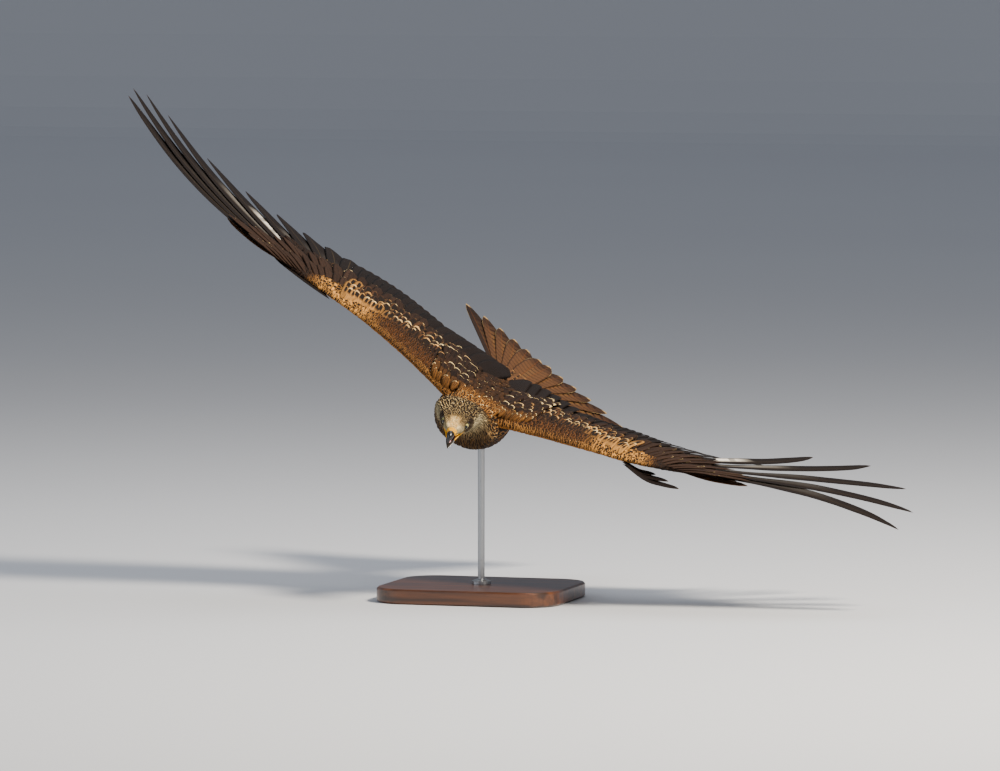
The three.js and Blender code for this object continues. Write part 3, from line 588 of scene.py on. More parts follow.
def tail_sheet(side):
    """The tail's sheet on one side: it falls away with the square of the distance from the middle."""

    def surface(p, q, h):
        flat = np.stack([-p, side * q, h - 0.0003 * q * q], -1)
        return turned(flat, 0, -TAIL_DROOP, TAIL_ROLL) + TAIL_ROOT

    return surface


# Feathers


def column(value, count):
    """A value for each feather, as a column."""
    return np.broadcast_to(np.asarray(value, float), (count,))[:, None]


def traced(surface, p, q, along_p, along_q, steps):
    """Shafts traced over a curved surface: both places at each of their points, and a unit's size in each.

    Each step of a shaft, a length in millimetres, is divided by the size there of one unit of the place.
    """
    shaft_p, shaft_q, size_p, size_q = [p], [q], [], []
    zero = np.zeros(len(p))
    for k in range(along_p.shape[1]):
        a, b = shaft_p[-1], shaft_q[-1]
        here = surface(a, b, zero)
        size_p.append(np.linalg.norm(surface(a + steps[0], b, zero) - here, axis=-1) / steps[0])
        size_q.append(np.linalg.norm(surface(a, b + steps[1], zero) - here, axis=-1) / steps[1])
        if k + 1 < along_p.shape[1]:
            shaft_p.append(a + (along_p[:, k + 1] - along_p[:, k]) / size_p[-1])
            shaft_q.append(b + (along_q[:, k + 1] - along_q[:, k]) / size_q[-1])
    return [np.stack(v, 1) for v in (shaft_p, shaft_q, size_p, size_q)]


def vanes(
    surface, p, q, turn, length, width, inner=None, shape=ROUND_VANE, inner_shape=None, rows=5, across=2,
    steps=None, root=0.0, tip=0.0, bow=0.0, curl=0.0, tilt=0.0, twist=0.0, arch=0.08, thickness=0.25,
    rachis=0.0, wave=0.0,
):
    """Feathers as closed plates on a surface, one for each root (p, q).

    The shaft runs from the root, turned from the first direction towards the second, and bent by bow times
    its length times the square of the way along it. On a surface given with steps it is traced in real
    lengths, and on one without it runs straight in the two places. Each row of points runs over the upper
    face from one edge to the other and back under it. The height above the surface goes from root to tip,
    with curl times the cube of the way, an arch, a ridge along the shaft, a wave, and the slope of tilt
    across the vane, less twist towards the tip.
    """
    count = len(p)
    length, turn, bow, curl = (column(v, count) for v in (length, turn, bow, curl))
    outer_width = column(width, count)
    inner_width = outer_width if inner is None else column(inner, count)
    t = np.concatenate([[0.0], 1 - (1 - np.linspace(0.12, 0.97, rows)) ** 1.15, [1.0]])
    angle = np.radians(turn)
    along_p = length * t * np.cos(angle) + bow * length * t**2 * np.sin(angle)
    along_q = length * t * np.sin(angle) - bow * length * t**2 * np.cos(angle)
    if steps:
        shaft_p, shaft_q, size_p, size_q = traced(surface, p, q, along_p, along_q, steps)
    else:
        shaft_p, shaft_q = p[:, None] + along_p, q[:, None] + along_q
        size_p = size_q = np.ones((count, len(t)))
    over = np.linspace(1, -1, across + 1)
    share = np.concatenate([over, over[1:-1][::-1]])
    face = np.concatenate([[0], np.ones(across - 1), [0], -np.ones(across - 1)])
    outer = outer_width[:, :, None] * through(shape)(t)[:, None]
    inner = inner_width[:, :, None] * through(inner_shape or shape)(t)[:, None]
    w = np.where(share > 0, outer, inner) * share
    rise = lerp(column(root, count), column(tip, count), smoothstep(t, -0.15, 0.6)) + curl * t**3
    hump = arch * outer_width[:, :, None] * (1 - share**2) + rachis * np.exp(-((share / 0.06) ** 2))
    lean = np.tan(np.radians(tilt - twist * smoothstep(t, 0.3, 0.7)))[:, None]
    h = rise[:, :, None] + w * lean + hump * np.sin(np.pi * np.clip(t * 1.05, 0, 1))[:, None] ** 0.5
    h = h + face * thickness / 2 + wave * np.sin(7 * t[:, None] + 5 * share) * t[:, None]
    at_p = shaft_p[:, :, None] - w * np.sin(angle)[:, :, None] / size_p[:, :, None]
    at_q = shaft_q[:, :, None] + w * np.cos(angle)[:, :, None] / size_q[:, :, None]
    body = surface(at_p[:, 1:-1], at_q[:, 1:-1], h[:, 1:-1]).reshape(count, -1, 3)
    ends = [surface(shaft_p[:, k], shaft_q[:, k], rise[:, k])[:, None] for k in (0, -1)]
    place_across = np.concatenate([np.tile(share, rows), [0, 0]])
    place_along = np.concatenate([np.repeat(t[1:-1], len(share)), [0, 1]])
    return dict(
        points=np.concatenate([body, *ends], 1),
        across=place_across,
        along=place_along,
        vane=np.stack([place_across / 2 + 0.5, place_along], -1)[None],
        under=np.concatenate([np.tile(face < 0, rows), [False, False]]).astype(float),
        quads=grid_faces(rows, len(share)),
        triangles=end_fans(rows, len(share)),
    )


def dress(part, ground, fringe, streak, marks, place):
    """A set of feathers with its colours, marks and bake places, for each feather or each point of it."""
    part.update(ground=ground, fringe=fringe, streak=streak, marks=marks, place=place)
    return part


def joined(parts):
    """Several sets of feathers as one set of arrays, with each value given for every point."""
    quads, triangles, start = [], [], 0
    for part in parts:
        count, size = part["points"].shape[:2]
        offset = start + np.arange(count)[:, None, None] * size
        quads.append((part["quads"][None] + offset).reshape(-1, 4))
        triangles.append((part["triangles"][None] + offset).reshape(-1, 3))
        start += count * size
    whole = dict(quads=np.concatenate(quads), triangles=np.concatenate(triangles))
    for key in ("points", "vane", "place", "ground", "fringe", "streak", "marks"):
        values = []
        for part in parts:
            value = np.asarray(part[key], float)
            value = value if value.ndim == 3 else value[:, None]
            wide = value.shape[-1]
            values.append(np.broadcast_to(value, (*part["points"].shape[:2], wide)).reshape(-1, wide))
        whole[key] = np.concatenate(values)
    return whole


def plumage(name, parts, material, slot, *nodes):
    """A piece of coat made of sets of feathers."""
    whole = joined(parts)
    made = new_mesh(name, world(whole["points"]), whole["quads"], whole["triangles"])
    add_map(made, "Vane", whole["vane"])
    patch = MAP_PATCH * (whole["vane"] - 0.5)
    add_map(made, "OFBake", whole["place"] * 0.99 + 0.005 + patch)
    for key in ("ground", "fringe", "streak", "marks"):
        add_colour(made, key, whole[key])
    made.data.uv_layers["Vane"].active_render = True
    return finish(made, material, slot, *nodes)


def rows_of_roots(start, end, step, spacing, span, size):
    """Roots in staggered rows from start to end.

    step and spacing give, at each place, the distance to the next row and between neighbours. span gives the
    ends of the second place there, and size the length of one unit of it.
    """
    p, q = [], []
    at, odd = start, 0
    while at < end:
        low, high = span(at)
        count = max(2, int(round((high - low) * size(at) / spacing(at))))
        offset = (np.arange(count) + 0.5 * odd) / count
        q.append(lerp(low, high, offset) + rng.normal(0, 0.16, count) * (high - low) / count)
        p.append(np.full(count, at) + rng.normal(0, 0.14, count) * step(at))
        at += step(at)
        odd = 1 - odd
    return np.concatenate(p), np.concatenate(q)


# Colours of the plumage


def tint(code):
    """The linear colour of a screen colour written as six hexadecimal digits."""
    c = np.array([int(code[i : i + 2], 16) for i in (0, 2, 4)]) / 255
    return np.where(c <= 0.04045, c / 12.92, ((c + 0.055) / 1.055) ** 2.4)


CREAM = tint("ecd29a")
BUFF = tint("d3b07a")
GREY = tint("8f8468")
CROWN = tint("705431")
BLUSH = tint("dfa84e")
RUFOUS = tint("9e672a")
GOLD = tint("cc9148")
CHESTNUT = tint("74431f")
RUDDY = tint("573a23")
TAN = tint("96703c")
BROWN = tint("54371f")
DARK = tint("2a1c14")
BLACK = tint("17100c")
WHITE = tint("efe6d8")
FLIGHT = tint("150e0b")


def each(colour, count):
    """The same colour, or set of marks, for each feather."""
    return np.tile(colour, (count, 1))


def mixed(a, b, share):
    """Colours a and b mixed by a share for each row."""
    share = np.clip(share, 0, 1)[..., None]
    return a * (1 - share) + b * share


def varied(colour, amount=0.16):
    """Colours with a small change of lightness for each feather."""
    return np.clip(colour * (1 + rng.normal(0, amount, len(colour)))[:, None], 0.002, 1)


def marks_of(fringe_width, streak_width):
    """The marks of feathers without bars: widths of fringe and streak, then a bar strength of nothing."""
    fringe_width, streak_width = np.broadcast_arrays(fringe_width, streak_width)
    return np.stack([fringe_width, streak_width, np.zeros(len(fringe_width))], -1)


def eye_middle(side):
    """The middle of an eyeball in the head's frame."""
    return np.array([EYE["x"], side * EYE["side"], 0.0])


def gaze(side):
    """The direction out of an eye in the head's frame."""
    a = math.radians(EYE["forward"])
    return np.array([math.sin(a), side * math.cos(a), 0.0])


def along_gaze(local, side):
    """The ways from an eye's middle to points of the head's frame, and how far along and off its gaze."""
    from_eye = local - eye_middle(side)
    depth = from_eye @ gaze(side)
    return from_eye, depth, np.linalg.norm(from_eye - depth[..., None] * gaze(side), axis=-1)


def from_eyes(points):
    """The distance of points from the middle of the nearer eye."""
    local = to_head(points)
    return np.minimum(*(np.linalg.norm(local - eye_middle(side), axis=-1) for side in (1, -1)))


def body_colours(s, angle):
    """Ground, fringe and streak colours and the marks of the body's feathers, by place.

    The forehead is cream with a golden blush, the crown brown with cream fringes, and the face grey with a
    dark ring round each eye, partly the eye's own dark surround and partly painted shade of its socket. The
    neck is rufous, the breast darkened underneath to dark brown as painted shade, and the belly chestnut.
    The back is nearly black with golden fringes. Dark streaks start behind the forehead and narrow down the
    neck.
    """
    up = np.sin(angle)
    n = len(s)
    blush = smoothstep(up, 0.6, 0.95) * (1 - smoothstep(s, 12, 26)) * rng.random(n)
    crown = np.maximum(smoothstep(s, 6, 20), smoothstep(up, 0.98, 0.82) * smoothstep(s, -1, 9))
    crown = crown * smoothstep(up, -0.2, 0.4)
    face = smoothstep(up, 0.55, 0.1) * (1 - smoothstep(s, 44, 80))
    neck = smoothstep(s, 50, 92) * lerp(0.9, 0.45, rng.random(n) * (1 - smoothstep(s, 80, 130)))
    # Painted shade under the body: the lower breast is darkened to dark brown over its own rufous colour.
    painted_breast_shade = smoothstep(s, 40, 78) * smoothstep(up, 0.2, -0.3)
    belly = smoothstep(s, 110, 180) * smoothstep(up, 0.3, -0.5)
    # Dark ring round each eye: partly the eye's own dark surround, partly painted shade of the socket under
    # the brow.
    eye_ring_and_socket_shade = 1 - smoothstep(from_eyes(body_skin(s, angle)), 11.5, 16.5)
    back = smoothstep(up, 0.15, 0.6) * smoothstep(s, 92, 128) * (1 - smoothstep(s, 262, 300))
    base = mixed(each(CREAM, n), BLUSH, blush)
    base = mixed(base, CROWN, crown * 0.85)
    base = mixed(base, GREY, face * 0.85)
    base = mixed(base, RUFOUS, neck)
    base = mixed(base, BROWN * 0.55, painted_breast_shade * 0.9)
    base = mixed(base, CHESTNUT, belly * 0.7)
    base = mixed(base, DARK, eye_ring_and_socket_shade * 0.95)
    ground = mixed(base, DARK, back)
    fringe = mixed(base * 1.12, GOLD, back * 0.6)
    fringe = mixed(fringe, CREAM, crown * (1 - smoothstep(s, 84, 112)) * (1 - eye_ring_and_socket_shade) * 0.85)
    middle = smoothstep(up, 0.72, 0.96)
    width = 0.04 + 0.56 * smoothstep(s, 2 + 5 * middle, 13 + 7 * middle) - 0.24 * smoothstep(s, 90, 140)
    width = width * (1 - 0.72 * face) * (1 - back * 0.6) * lerp(0.6, 1, smoothstep(up, -0.3, 0.3))
    rim = 0.2 + 0.12 * back + 0.12 * crown + 0.05 * rng.random(n)
    marks = marks_of(rim, width * (0.75 + 0.5 * rng.random(n)))
    return varied(ground), np.clip(fringe, 0, 1), each(BLACK, n) * 1.2, marks


# Materials


class Tree:
    """Short ways to add nodes to a material's or a group's tree."""

    def __init__(self, tree):
        self.tree = tree

    def give(self, socket, value):
        """A socket set to a value, or linked from the socket that is given instead."""
        if isinstance(value, bpy.types.NodeSocket):
            self.tree.links.new(value, socket)
        else:
            socket.default_value = value

    def add(self, kind, inputs=None, **settings):
        """A node with its settings and its inputs."""
        made = self.tree.nodes.new(kind)
        for key, value in settings.items():
            setattr(made, key, value)
        for key, value in (inputs or {}).items():
            self.give(made.inputs[key], value)
        return made

    def math(self, operation, a, b=0.0, c=0.0, clamp=False):
        """One sum of the Math node."""
        return self.add("ShaderNodeMath", {0: a, 1: b, 2: c}, operation=operation, use_clamp=clamp).outputs[0]

    def ramp(self, value, low, high, out_low=0.0, out_high=1.0):
        """A smooth step from low to high."""
        inputs = {"Value": value, "From Min": low, "From Max": high, "To Min": out_low, "To Max": out_high}
        return self.add("ShaderNodeMapRange", inputs, interpolation_type="SMOOTHSTEP").outputs[0]

    def mix(self, share, a, b, blend="MIX"):
        """Two colours mixed by a share."""
        inputs = {0: share, 6: a, 7: b}
        return self.add("ShaderNodeMix", inputs, data_type="RGBA", blend_type=blend).outputs[2]

    def shaded(self, colour, factor):
        """A colour multiplied by a factor."""
        grey = self.add("ShaderNodeCombineColor", {0: factor, 1: factor, 2: factor}).outputs[0]
        return self.mix(1.0, colour, grey, "MULTIPLY")

    def colour_at(self, name):
        """The colour kept at each vertex under a name."""
        made = self.add("ShaderNodeAttribute", attribute_name=name, attribute_type="GEOMETRY")
        return made.outputs["Color"]

    def object_place(self):
        """Object coordinates."""
        return self.add("ShaderNodeTexCoord").outputs["Object"]

    def stretched(self, vector, scale):
        """Coordinates scaled along each axis."""
        return self.add("ShaderNodeMapping", {"Vector": vector, "Scale": scale}).outputs[0]

    def noise(self, scale, vector=None, detail=3.0):
        """Noise in 0 to 1, on Object coordinates unless another vector is given."""
        if vector is None:
            vector = self.object_place()
        return self.add("ShaderNodeTexNoise", {"Vector": vector, "Scale": scale, "Detail": detail}).outputs[0]

    def relief(self, shader, height, strength, distance):
        """A bump on a shader, a distance in metres deep, from a height."""
        inputs = {"Height": height, "Strength": strength, "Distance": distance}
        self.give(shader.inputs["Normal"], self.add("ShaderNodeBump", inputs).outputs[0])


def rgba(colour):
    """A colour, or the code of a screen colour, as linear values with an alpha of one."""
    linear = tint(colour) if isinstance(colour, str) else colour
    return (*[float(c) for c in linear], 1.0)


def new_material(name, roughness, **constants):
    """A material with one Principled shader, and its tree."""
    material = bpy.data.materials.new(name)
    material.use_nodes = True
    tree = Tree(material.node_tree)
    shader = material.node_tree.nodes["Principled BSDF"]
    shader.inputs["Roughness"].default_value = roughness
    for key, value in constants.items():
        shader.inputs[key.replace("_", " ")].default_value = value
    return material, tree, shader


def new_group(name, inputs, outputs):
    """A shader node group with named sockets, its tree, and its input and output nodes."""
    group = bpy.data.node_groups.new(name, "ShaderNodeTree")
    for socket, kind in inputs:
        group.interface.new_socket(socket, in_out="INPUT", socket_type=kind)
    for socket, kind in outputs:
        group.interface.new_socket(socket, in_out="OUTPUT", socket_type=kind)
    tree = Tree(group)
    return group, tree, tree.add("NodeGroupInput").outputs, tree.add("NodeGroupOutput")


def vane_marks_group():
    """Masks on a feather from its own map: fringe, shaft streak, bars, shaft line and barbs."""
    names = ["Vane", "Fringe Width", "Streak Width", "Bar Strength", "Bar Count", "Barb Count"]
    kinds = ["NodeSocketVector"] + ["NodeSocketFloat"] * 5
    mask_names = ("Fringe", "Streak", "Bars", "Shaft", "Barbs")
    masks = [(name, "NodeSocketFloat") for name in mask_names]
    group, tree, given, result = new_group("Vane marks", list(zip(names, kinds)), masks)
    parts = tree.add("ShaderNodeSeparateXYZ", {0: given["Vane"]}).outputs
    grain = tree.noise(2.2, given["Vane"], 2.0)
    wobble = tree.math("MULTIPLY", tree.math("SUBTRACT", grain, 0.5), 0.16)
    signed = tree.math("MULTIPLY_ADD", parts[0], 2.0, -1.0)
    away = tree.math("ABSOLUTE", signed)
    ragged = tree.math("ADD", away, wobble)
    along = parts[1]
    near_tip = tree.math("MULTIPLY_ADD", tree.math("SUBTRACT", 1.0, along), -2.4, 1.0)
    sides = tree.math("SUBTRACT", ragged, tree.ramp(along, 0.4, 0.85, 0.6, 0.0))
    rim = tree.math("MAXIMUM", sides, near_tip)
    edge = tree.math("SUBTRACT", 1.0, given["Fringe Width"])
    fringe = tree.ramp(rim, edge, tree.math("ADD", edge, 0.09))
    ends = tree.math("MULTIPLY", tree.ramp(along, 0.32, 0.52), tree.ramp(along, 0.84, 0.95, 1.0, 0.0))
    inside = tree.math("SUBTRACT", ragged, given["Streak Width"])
    streak = tree.math("MULTIPLY", tree.ramp(inside, -0.06, 0.06, 1.0, 0.0), ends)
    slanted = tree.math("SUBTRACT", along, tree.math("MULTIPLY", away, 0.05))
    uneven = tree.math("ADD", slanted, tree.math("MULTIPLY", wobble, 0.12))
    wave = tree.math("SINE", tree.math("MULTIPLY", uneven, given["Bar Count"]))
    bars = tree.math("MULTIPLY", tree.ramp(wave, 0.25, 0.75), given["Bar Strength"], clamp=True)
    shaft = tree.ramp(away, 0.02, 0.05, 1.0, 0.0)
    slant = tree.math("ADD", along, tree.math("MULTIPLY", away, -0.12))
    barbs = tree.math("SINE", tree.math("MULTIPLY", slant, given["Barb Count"]))
    for name, value in zip(mask_names, (fringe, streak, bars, shaft, barbs)):
        tree.give(result.inputs[name], value)
    return group


vane_marks = vane_marks_group()


def feather_material(name, roughness, bar_count, barb_count, bar_colour, bump):
    """Feathers: the ground colour with fringe, streak and bars laid on it, finely barbed."""
    material, tree, shader = new_material(name, roughness, Specular_IOR_Level=0.12)
    uv = tree.add("ShaderNodeUVMap", uv_map="Vane").outputs[0]
    ground, fringe, streak, marks = (tree.colour_at(key) for key in ("ground", "fringe", "streak", "marks"))
    widths = tree.add("ShaderNodeSeparateColor", {0: marks}).outputs
    group = tree.add("ShaderNodeGroup", node_tree=vane_marks)
    tree.give(group.inputs["Vane"], uv)
    for key, width in zip(("Fringe Width", "Streak Width", "Bar Strength"), widths):
        tree.give(group.inputs[key], width)
    group.inputs["Bar Count"].default_value = bar_count * 2 * math.pi
    group.inputs["Barb Count"].default_value = barb_count * 2 * math.pi
    masks = group.outputs
    colour = tree.mix(masks["Bars"], ground, rgba(bar_colour))
    colour = tree.mix(masks["Streak"], colour, streak)
    colour = tree.mix(masks["Fringe"], colour, fringe)
    colour = tree.mix(tree.math("MULTIPLY", masks["Shaft"], 0.6), colour, streak)
    mottle = tree.ramp(tree.noise(220.0), 0.3, 0.75, 0.82, 1.12)
    fine = tree.math("MULTIPLY", tree.math("MULTIPLY_ADD", masks["Barbs"], 0.05, 1.0), mottle)
    tree.give(shader.inputs["Base Color"], tree.shaded(colour, fine))
    height = tree.math("MULTIPLY_ADD", masks["Shaft"], 1.5, masks["Barbs"])
    tree.relief(shader, height, bump, 0.0002)
    return material


small_feathers = feather_material("small feathers", 0.78, 3, 55, BLACK, 0.25)
flight_feathers = feather_material("flight feathers", 0.7, 9, 190, BLACK, 0.3)
tail_vanes = feather_material("tail feathers", 0.7, 14, 190, "24130a", 0.3)


def skin_material():
    """Bare skin under the feathers: the plumage's own ground colour, mottled, with fine creases."""
    material, tree, shader = new_material("skin", 0.7)
    ground = tree.colour_at("ground")
    shade = tree.ramp(tree.noise(380.0), 0.3, 0.7, 0.5, 0.9)
    tree.give(shader.inputs["Base Color"], tree.shaded(ground, shade))
    tree.relief(shader, tree.noise(900.0), 0.4, 0.0003)
    return material


def mottled_material(name, light, dark, scale, roughness, relief=0.3, **constants):
    """Two colours mixed by noise, with a fine relief from finer noise."""
    material, tree, shader = new_material(name, roughness, **constants)
    share = tree.ramp(tree.noise(scale), 0.35, 0.68)
    tree.give(shader.inputs["Base Color"], tree.mix(share, rgba(dark), rgba(light)))
    tree.relief(shader, tree.noise(scale * 4), relief, 0.0002)
    return material


skin = skin_material()
wax = mottled_material("yellow cere", "e2a800", "c07e00", 420.0, 0.5, Specular_IOR_Level=0.2)
horn = mottled_material("dark horn", "221e1c", "0e0c0c", 300.0, 0.26, 0.15)
wet_mouth = mottled_material("mouth", "c9757a", "8e3f47", 380.0, 0.28)
leg_scales = mottled_material("yellow leg scales", "e3b02a", "b97f17", 600.0, 0.5, 0.6)


# Skin


def tube(points, radii, sides, rows):
    """A round limb: a smooth curve through the points, with the radius given at each, as rings."""
    points = np.asarray(points, float)
    stops = np.linspace(0, 1, len(points))
    t = np.linspace(0, 1, rows)
    path = np.stack([through(list(zip(stops, points[:, i])))(t) for i in range(3)], -1)
    radius = through(list(zip(np.linspace(0, 1, len(radii)), radii)))(t)
    along = unit(np.gradient(path, axis=0))
    across = unit(np.cross([0, 0, 1.0], along))
    over = np.cross(along, across)
    a = circle(sides)[None, :, None]
    return path[:, None] + radius[:, None, None] * (across[:, None] * np.cos(a) + over[:, None] * np.sin(a))


def thigh_rings(side, grow, rows=24, sides=32):
    """The feathered thigh as rings from the hip to the bare leg."""
    start, end = mirrored(THIGH["start"], side), mirrored(THIGH["end"], side)
    radii = [r + grow for r in THIGH["radius"]]
    return tube([start, (start + end) / 2, end], radii, sides, rows)


def socketed(points):
    """Skin points drawn to a rim round each eye.

    Within the lids' reach of the gaze line a point moves to a sphere round the eye's middle: just outside the
    eyeball at the rim of the opening and sunk well inside it within the opening.
    """
    local = to_head(points)
    radius, opening = EYE["radius"], EYE["opening"]
    for side in (1, -1):
        from_eye, depth, away = along_gaze(local, side)
        target = lerp(radius - 3.5, radius + 0.5, smoothstep(away, opening - 1.4, opening + 0.4))
        pull = (1 - smoothstep(away, opening + 1.2, opening + 5)) * (depth > 0)
        local = lerp(local, eye_middle(side) + unit(from_eye) * target[..., None], pull[..., None])
    return from_head(local)


def skin_body():
    """Face, neck and trunk as rings from the bill's root to the tail."""
    face = np.linspace(FACE_STARTS, NECK_STARTS, 80)
    trunk = np.linspace(NECK_STARTS, BODY_ENDS, 90)[1:]
    s = np.concatenate([face, trunk])[:, None]
    return socketed(body_skin(s, circle(120)[None, :], -coat_depth(s)))


def skin_wing(wing):
    """The flesh of one wing as rings from the trunk to the end of the hand."""
    y = np.linspace(*FLESH_SPAN, 60)[:, None]
    return wing.skin(circle(36)[None, :], y, -1.5)


def chin_rings():
    """The lower jaw under its feathers, as rings."""
    back = np.linspace(0, CHIN["end"] - CHIN["start"], 20)[:, None]
    return chin_skin(back, circle(40)[None, :], -0.8)


def inside_mouth(points):
    """How far points are inside the open mouth, the lesser of below the palate and above the lower jaw."""
    local = to_head(points)
    below = PALATE - local[..., 2]
    in_jaw = turned(local - jaw_hinge, 0, -BILL_OPEN, 0) + jaw_hinge
    return np.minimum(below, in_jaw[..., 2] - JAW["top"])


def mouth_wedge():
    """The space between palate and lower jaw, a wedge whose edge is where the two planes meet."""
    half, front = 40.0, 60.0
    hinge_x, hinge_z = JAW_HINGE
    angle = math.radians(BILL_OPEN)
    drop = JAW["top"] - hinge_z
    back = hinge_x + (drop * math.cos(angle) - (PALATE - hinge_z)) / math.tan(angle) + drop * math.sin(angle)
    corners = [(back, PALATE), (front, PALATE), (front, PALATE - (front - back) * math.tan(angle))]
    return from_head(np.array([[(x, y, z) for x, z in corners] for y in (-half, half)]))


def join(whole, other, operation):
    """The union or difference of one closed mesh object with another, which is removed."""
    step = whole.modifiers.new("join", "BOOLEAN")
    step.operation = operation
    step.object = other
    step.solver = "MANIFOLD"
    result = bpy.data.meshes.new_from_object(whole.evaluated_get(bpy.context.evaluated_depsgraph_get()))
    result.materials.clear()
    whole.modifiers.clear()
    whole.data = result
    bpy.data.objects.remove(other)


def skin_colours(place):
    """The nearest plumage's ground colour, dark round the eyes, brown on the wings and red in the mouth."""
    s = np.linspace(0, BODY_ENDS, 200)
    line = np.stack([f(s) for f in middle_line], -1)
    nearest = np.argmin(((place[:, None] - line[None]) ** 2).sum(-1), 1)
    off = place - line[nearest]
    ground = body_colours(s[nearest], np.arctan2(off[:, 2], off[:, 1]))[0]
    local = to_head(place)
    for side in (1, -1):
        away = np.linalg.norm(local - eye_middle(side), axis=-1)
        ground = mixed(ground, tint("3c3430"), 1 - smoothstep(away, 8.6, 11.5))
    ground = mixed(ground, BROWN * 0.6, smoothstep(np.abs(place[:, 1]), 70, 100))
    in_mouth = (inside_mouth(place) > -0.3) & (local[:, 0] > -20)
    return mixed(ground, tint("5c1f22"), in_mouth.astype(float))


def make_skin():
    """One skin over head, neck, trunk, wing flesh and thighs, with the mouth cut open."""
    whole = solid("skin", skin_body())
    wings = [skin_wing(wing) for wing in (left_wing, right_wing)]
    thighs = [thigh_rings(side, -3) for side in (1, -1)]
    for limb in (*wings, *thighs, chin_rings()):
        join(whole, solid("limb", limb), "UNION")
    join(whole, solid("wedge", mouth_wedge()), "DIFFERENCE")
    points = np.empty(len(whole.data.vertices) * 3, np.float32)
    whole.data.vertices.foreach_get("co", points)
    add_colour(whole, "ground", skin_colours(from_world(points.reshape(-1, 3))))
    whole.data.polygons.foreach_set("use_smooth", np.ones(len(whole.data.polygons), bool))
    finish(whole, skin, "body_plumage", "torso", "neck", "head", "thigh_left", "thigh_right")


make_skin()


# Body feathers


def near_eye(points, reach):
    """Which points lie within reach of a gaze line, out in front of the eye."""
    local = to_head(points)
    near = np.zeros(points.shape[:-1], bool)
    for side in (1, -1):
        _, depth, away = along_gaze(local, side)
        near |= (away < reach) & (depth > 0)
    return near


def clear_of_mantle(s, angle):
    """Which places of the trunk the mantle leaves free."""
    return (np.sin(angle) < 0.5) | (s < 128) | (s > 285)


feather_length, feather_width = through(FEATHER_LENGTH), through(FEATHER_WIDTH)


def body_feathers(start, end, shape, rows, keep=None):
    """The small feathers of one stretch of the body, pointing back and shingled."""
    p, q = rows_of_roots(
        start, end,
        lambda s: float(feather_length(s)) * 0.28,
        lambda s: float(feather_width(s)) * 1.25,
        lambda s: (0, 2 * math.pi),
        lambda s: float(half_width(s) + 0.5 * (body_top(s) + body_bottom(s))) / 2,
    )
    at = body_skin(p, q)
    kept = ~near_eye(at, EYE["opening"] + 1.3) & (inside_mouth(at) < -0.2)
    if keep is not None:
        kept &= keep(p, q)
    p, q = p[kept], q[kept]
    n = len(p)
    part = vanes(
        body_cover, p, q, rng.normal(0, 5, n), feather_length(p) * rng.uniform(0.88, 1.12, n),
        feather_width(p), shape=shape, rows=rows, steps=BODY_STEPS, root=-coat_depth(p) * 0.9,
        tip=0.5 + 0.1 * coat_depth(p), thickness=0.18, arch=0.22,
    )
    place = np.stack([(q / (2 * math.pi)) % 1, p / MAP_SIZE], -1)
    return dress(part, *body_colours(p, q), place)


def chin_feathers():
    """Small pale feathers under the lower jaw."""
    end = 30
    p, q = rows_of_roots(
        0.6, end, lambda p: 1.3, lambda p: 1.5, lambda p: (math.pi, 2 * math.pi), lambda p: 11.0,
    )
    kept = np.abs(np.cos(q)) < 0.97
    p, q = p[kept], q[kept]
    n = len(p)
    part = vanes(
        chin_cover, p, q, rng.normal(0, 5, n), lerp(3.6, 7, p / end), lerp(0.85, 1.4, p / end),
        shape=LANCE_VANE, rows=3, steps=BODY_STEPS, root=-0.7, tip=0.5, thickness=0.18, arch=0.2,
    )
    ground = varied(mixed(each(GREY, n), CREAM, 0.5 * rng.random(n)))
    marks = marks_of(0.18, 0.05 + 0.12 * rng.random(n))
    place = np.stack([q / (2 * math.pi), 0.9 + 0.08 * p / end], -1)
    return dress(part, ground, np.clip(ground * 1.1, 0, 1), each(BLACK * 1.5, n), marks, place)


head_coat = [body_feathers(FACE_STARTS + 0.9, 52, LANCE_VANE, 3), chin_feathers()]
plumage("plumage_head", head_coat, small_feathers, "head_plumage", "head")
neck_coat = [body_feathers(52, 112, LANCE_VANE, 4)]
plumage("plumage_neck", neck_coat, small_feathers, "neck_plumage", "neck")
trunk_coat = [body_feathers(112, 350, ROUND_VANE, 5, clear_of_mantle)]
plumage("plumage_body", trunk_coat, small_feathers, "body_plumage", "torso")

mantle_width = through(MANTLE_WIDTH)


def back_fringes(count, brighter, pale_share):
    """Fringe colours between dull rufous and a brighter one, on a share of the feathers nearly cream."""
    pale = rng.random(count) < pale_share
    return mixed(mixed(each(RUFOUS * 0.8, count), brighter, rng.random(count)), CREAM, pale * 0.8)


def mantle(wing):
    """Small dark feathers over the back on one side, rufous and streaked on the cape behind the neck.

    Where the scapulars start, its rows reach further out and cover their roots.
    """
    p, q = rows_of_roots(
        -6, 205, lambda p: float(mantle_width(p)) * 1.2, lambda p: float(mantle_width(p)) * 1.25,
        lambda p: (0, 36 + 0.06 * p + (58 if 26 < p < 66 else 0)), lambda p: 1.0,
    )
    n = len(p)
    length = 24 + 0.11 * np.maximum(p, 0)
    part = vanes(
        back_cover(wing), p, q, 4 + 0.15 * q + rng.normal(0, 6, n), length * rng.uniform(0.9, 1.1, n),
        mantle_width(p), shape=SOFT_VANE, rows=5, steps=BACK_SHAFT_STEPS, root=-4, tip=2.0, arch=0.14,
        thickness=0.3,
    )
    fringe = back_fringes(n, GOLD, 0.55)
    cape = 1 - smoothstep(p, 5, 42)
    marks = marks_of(0.14 + 0.2 * rng.random(n) + 0.16 * cape, 0.24 * cape)
    place = np.stack([0.5 + wing.side * q / MAP_SIZE, (p + 10) / MAP_SIZE], -1)
    ground = varied(mixed(each(DARK * 0.8, n), RUFOUS, cape * 0.75 + 0.08 * rng.random(n)))
    return dress(part, ground, fringe, each(BLACK, n), marks, place)


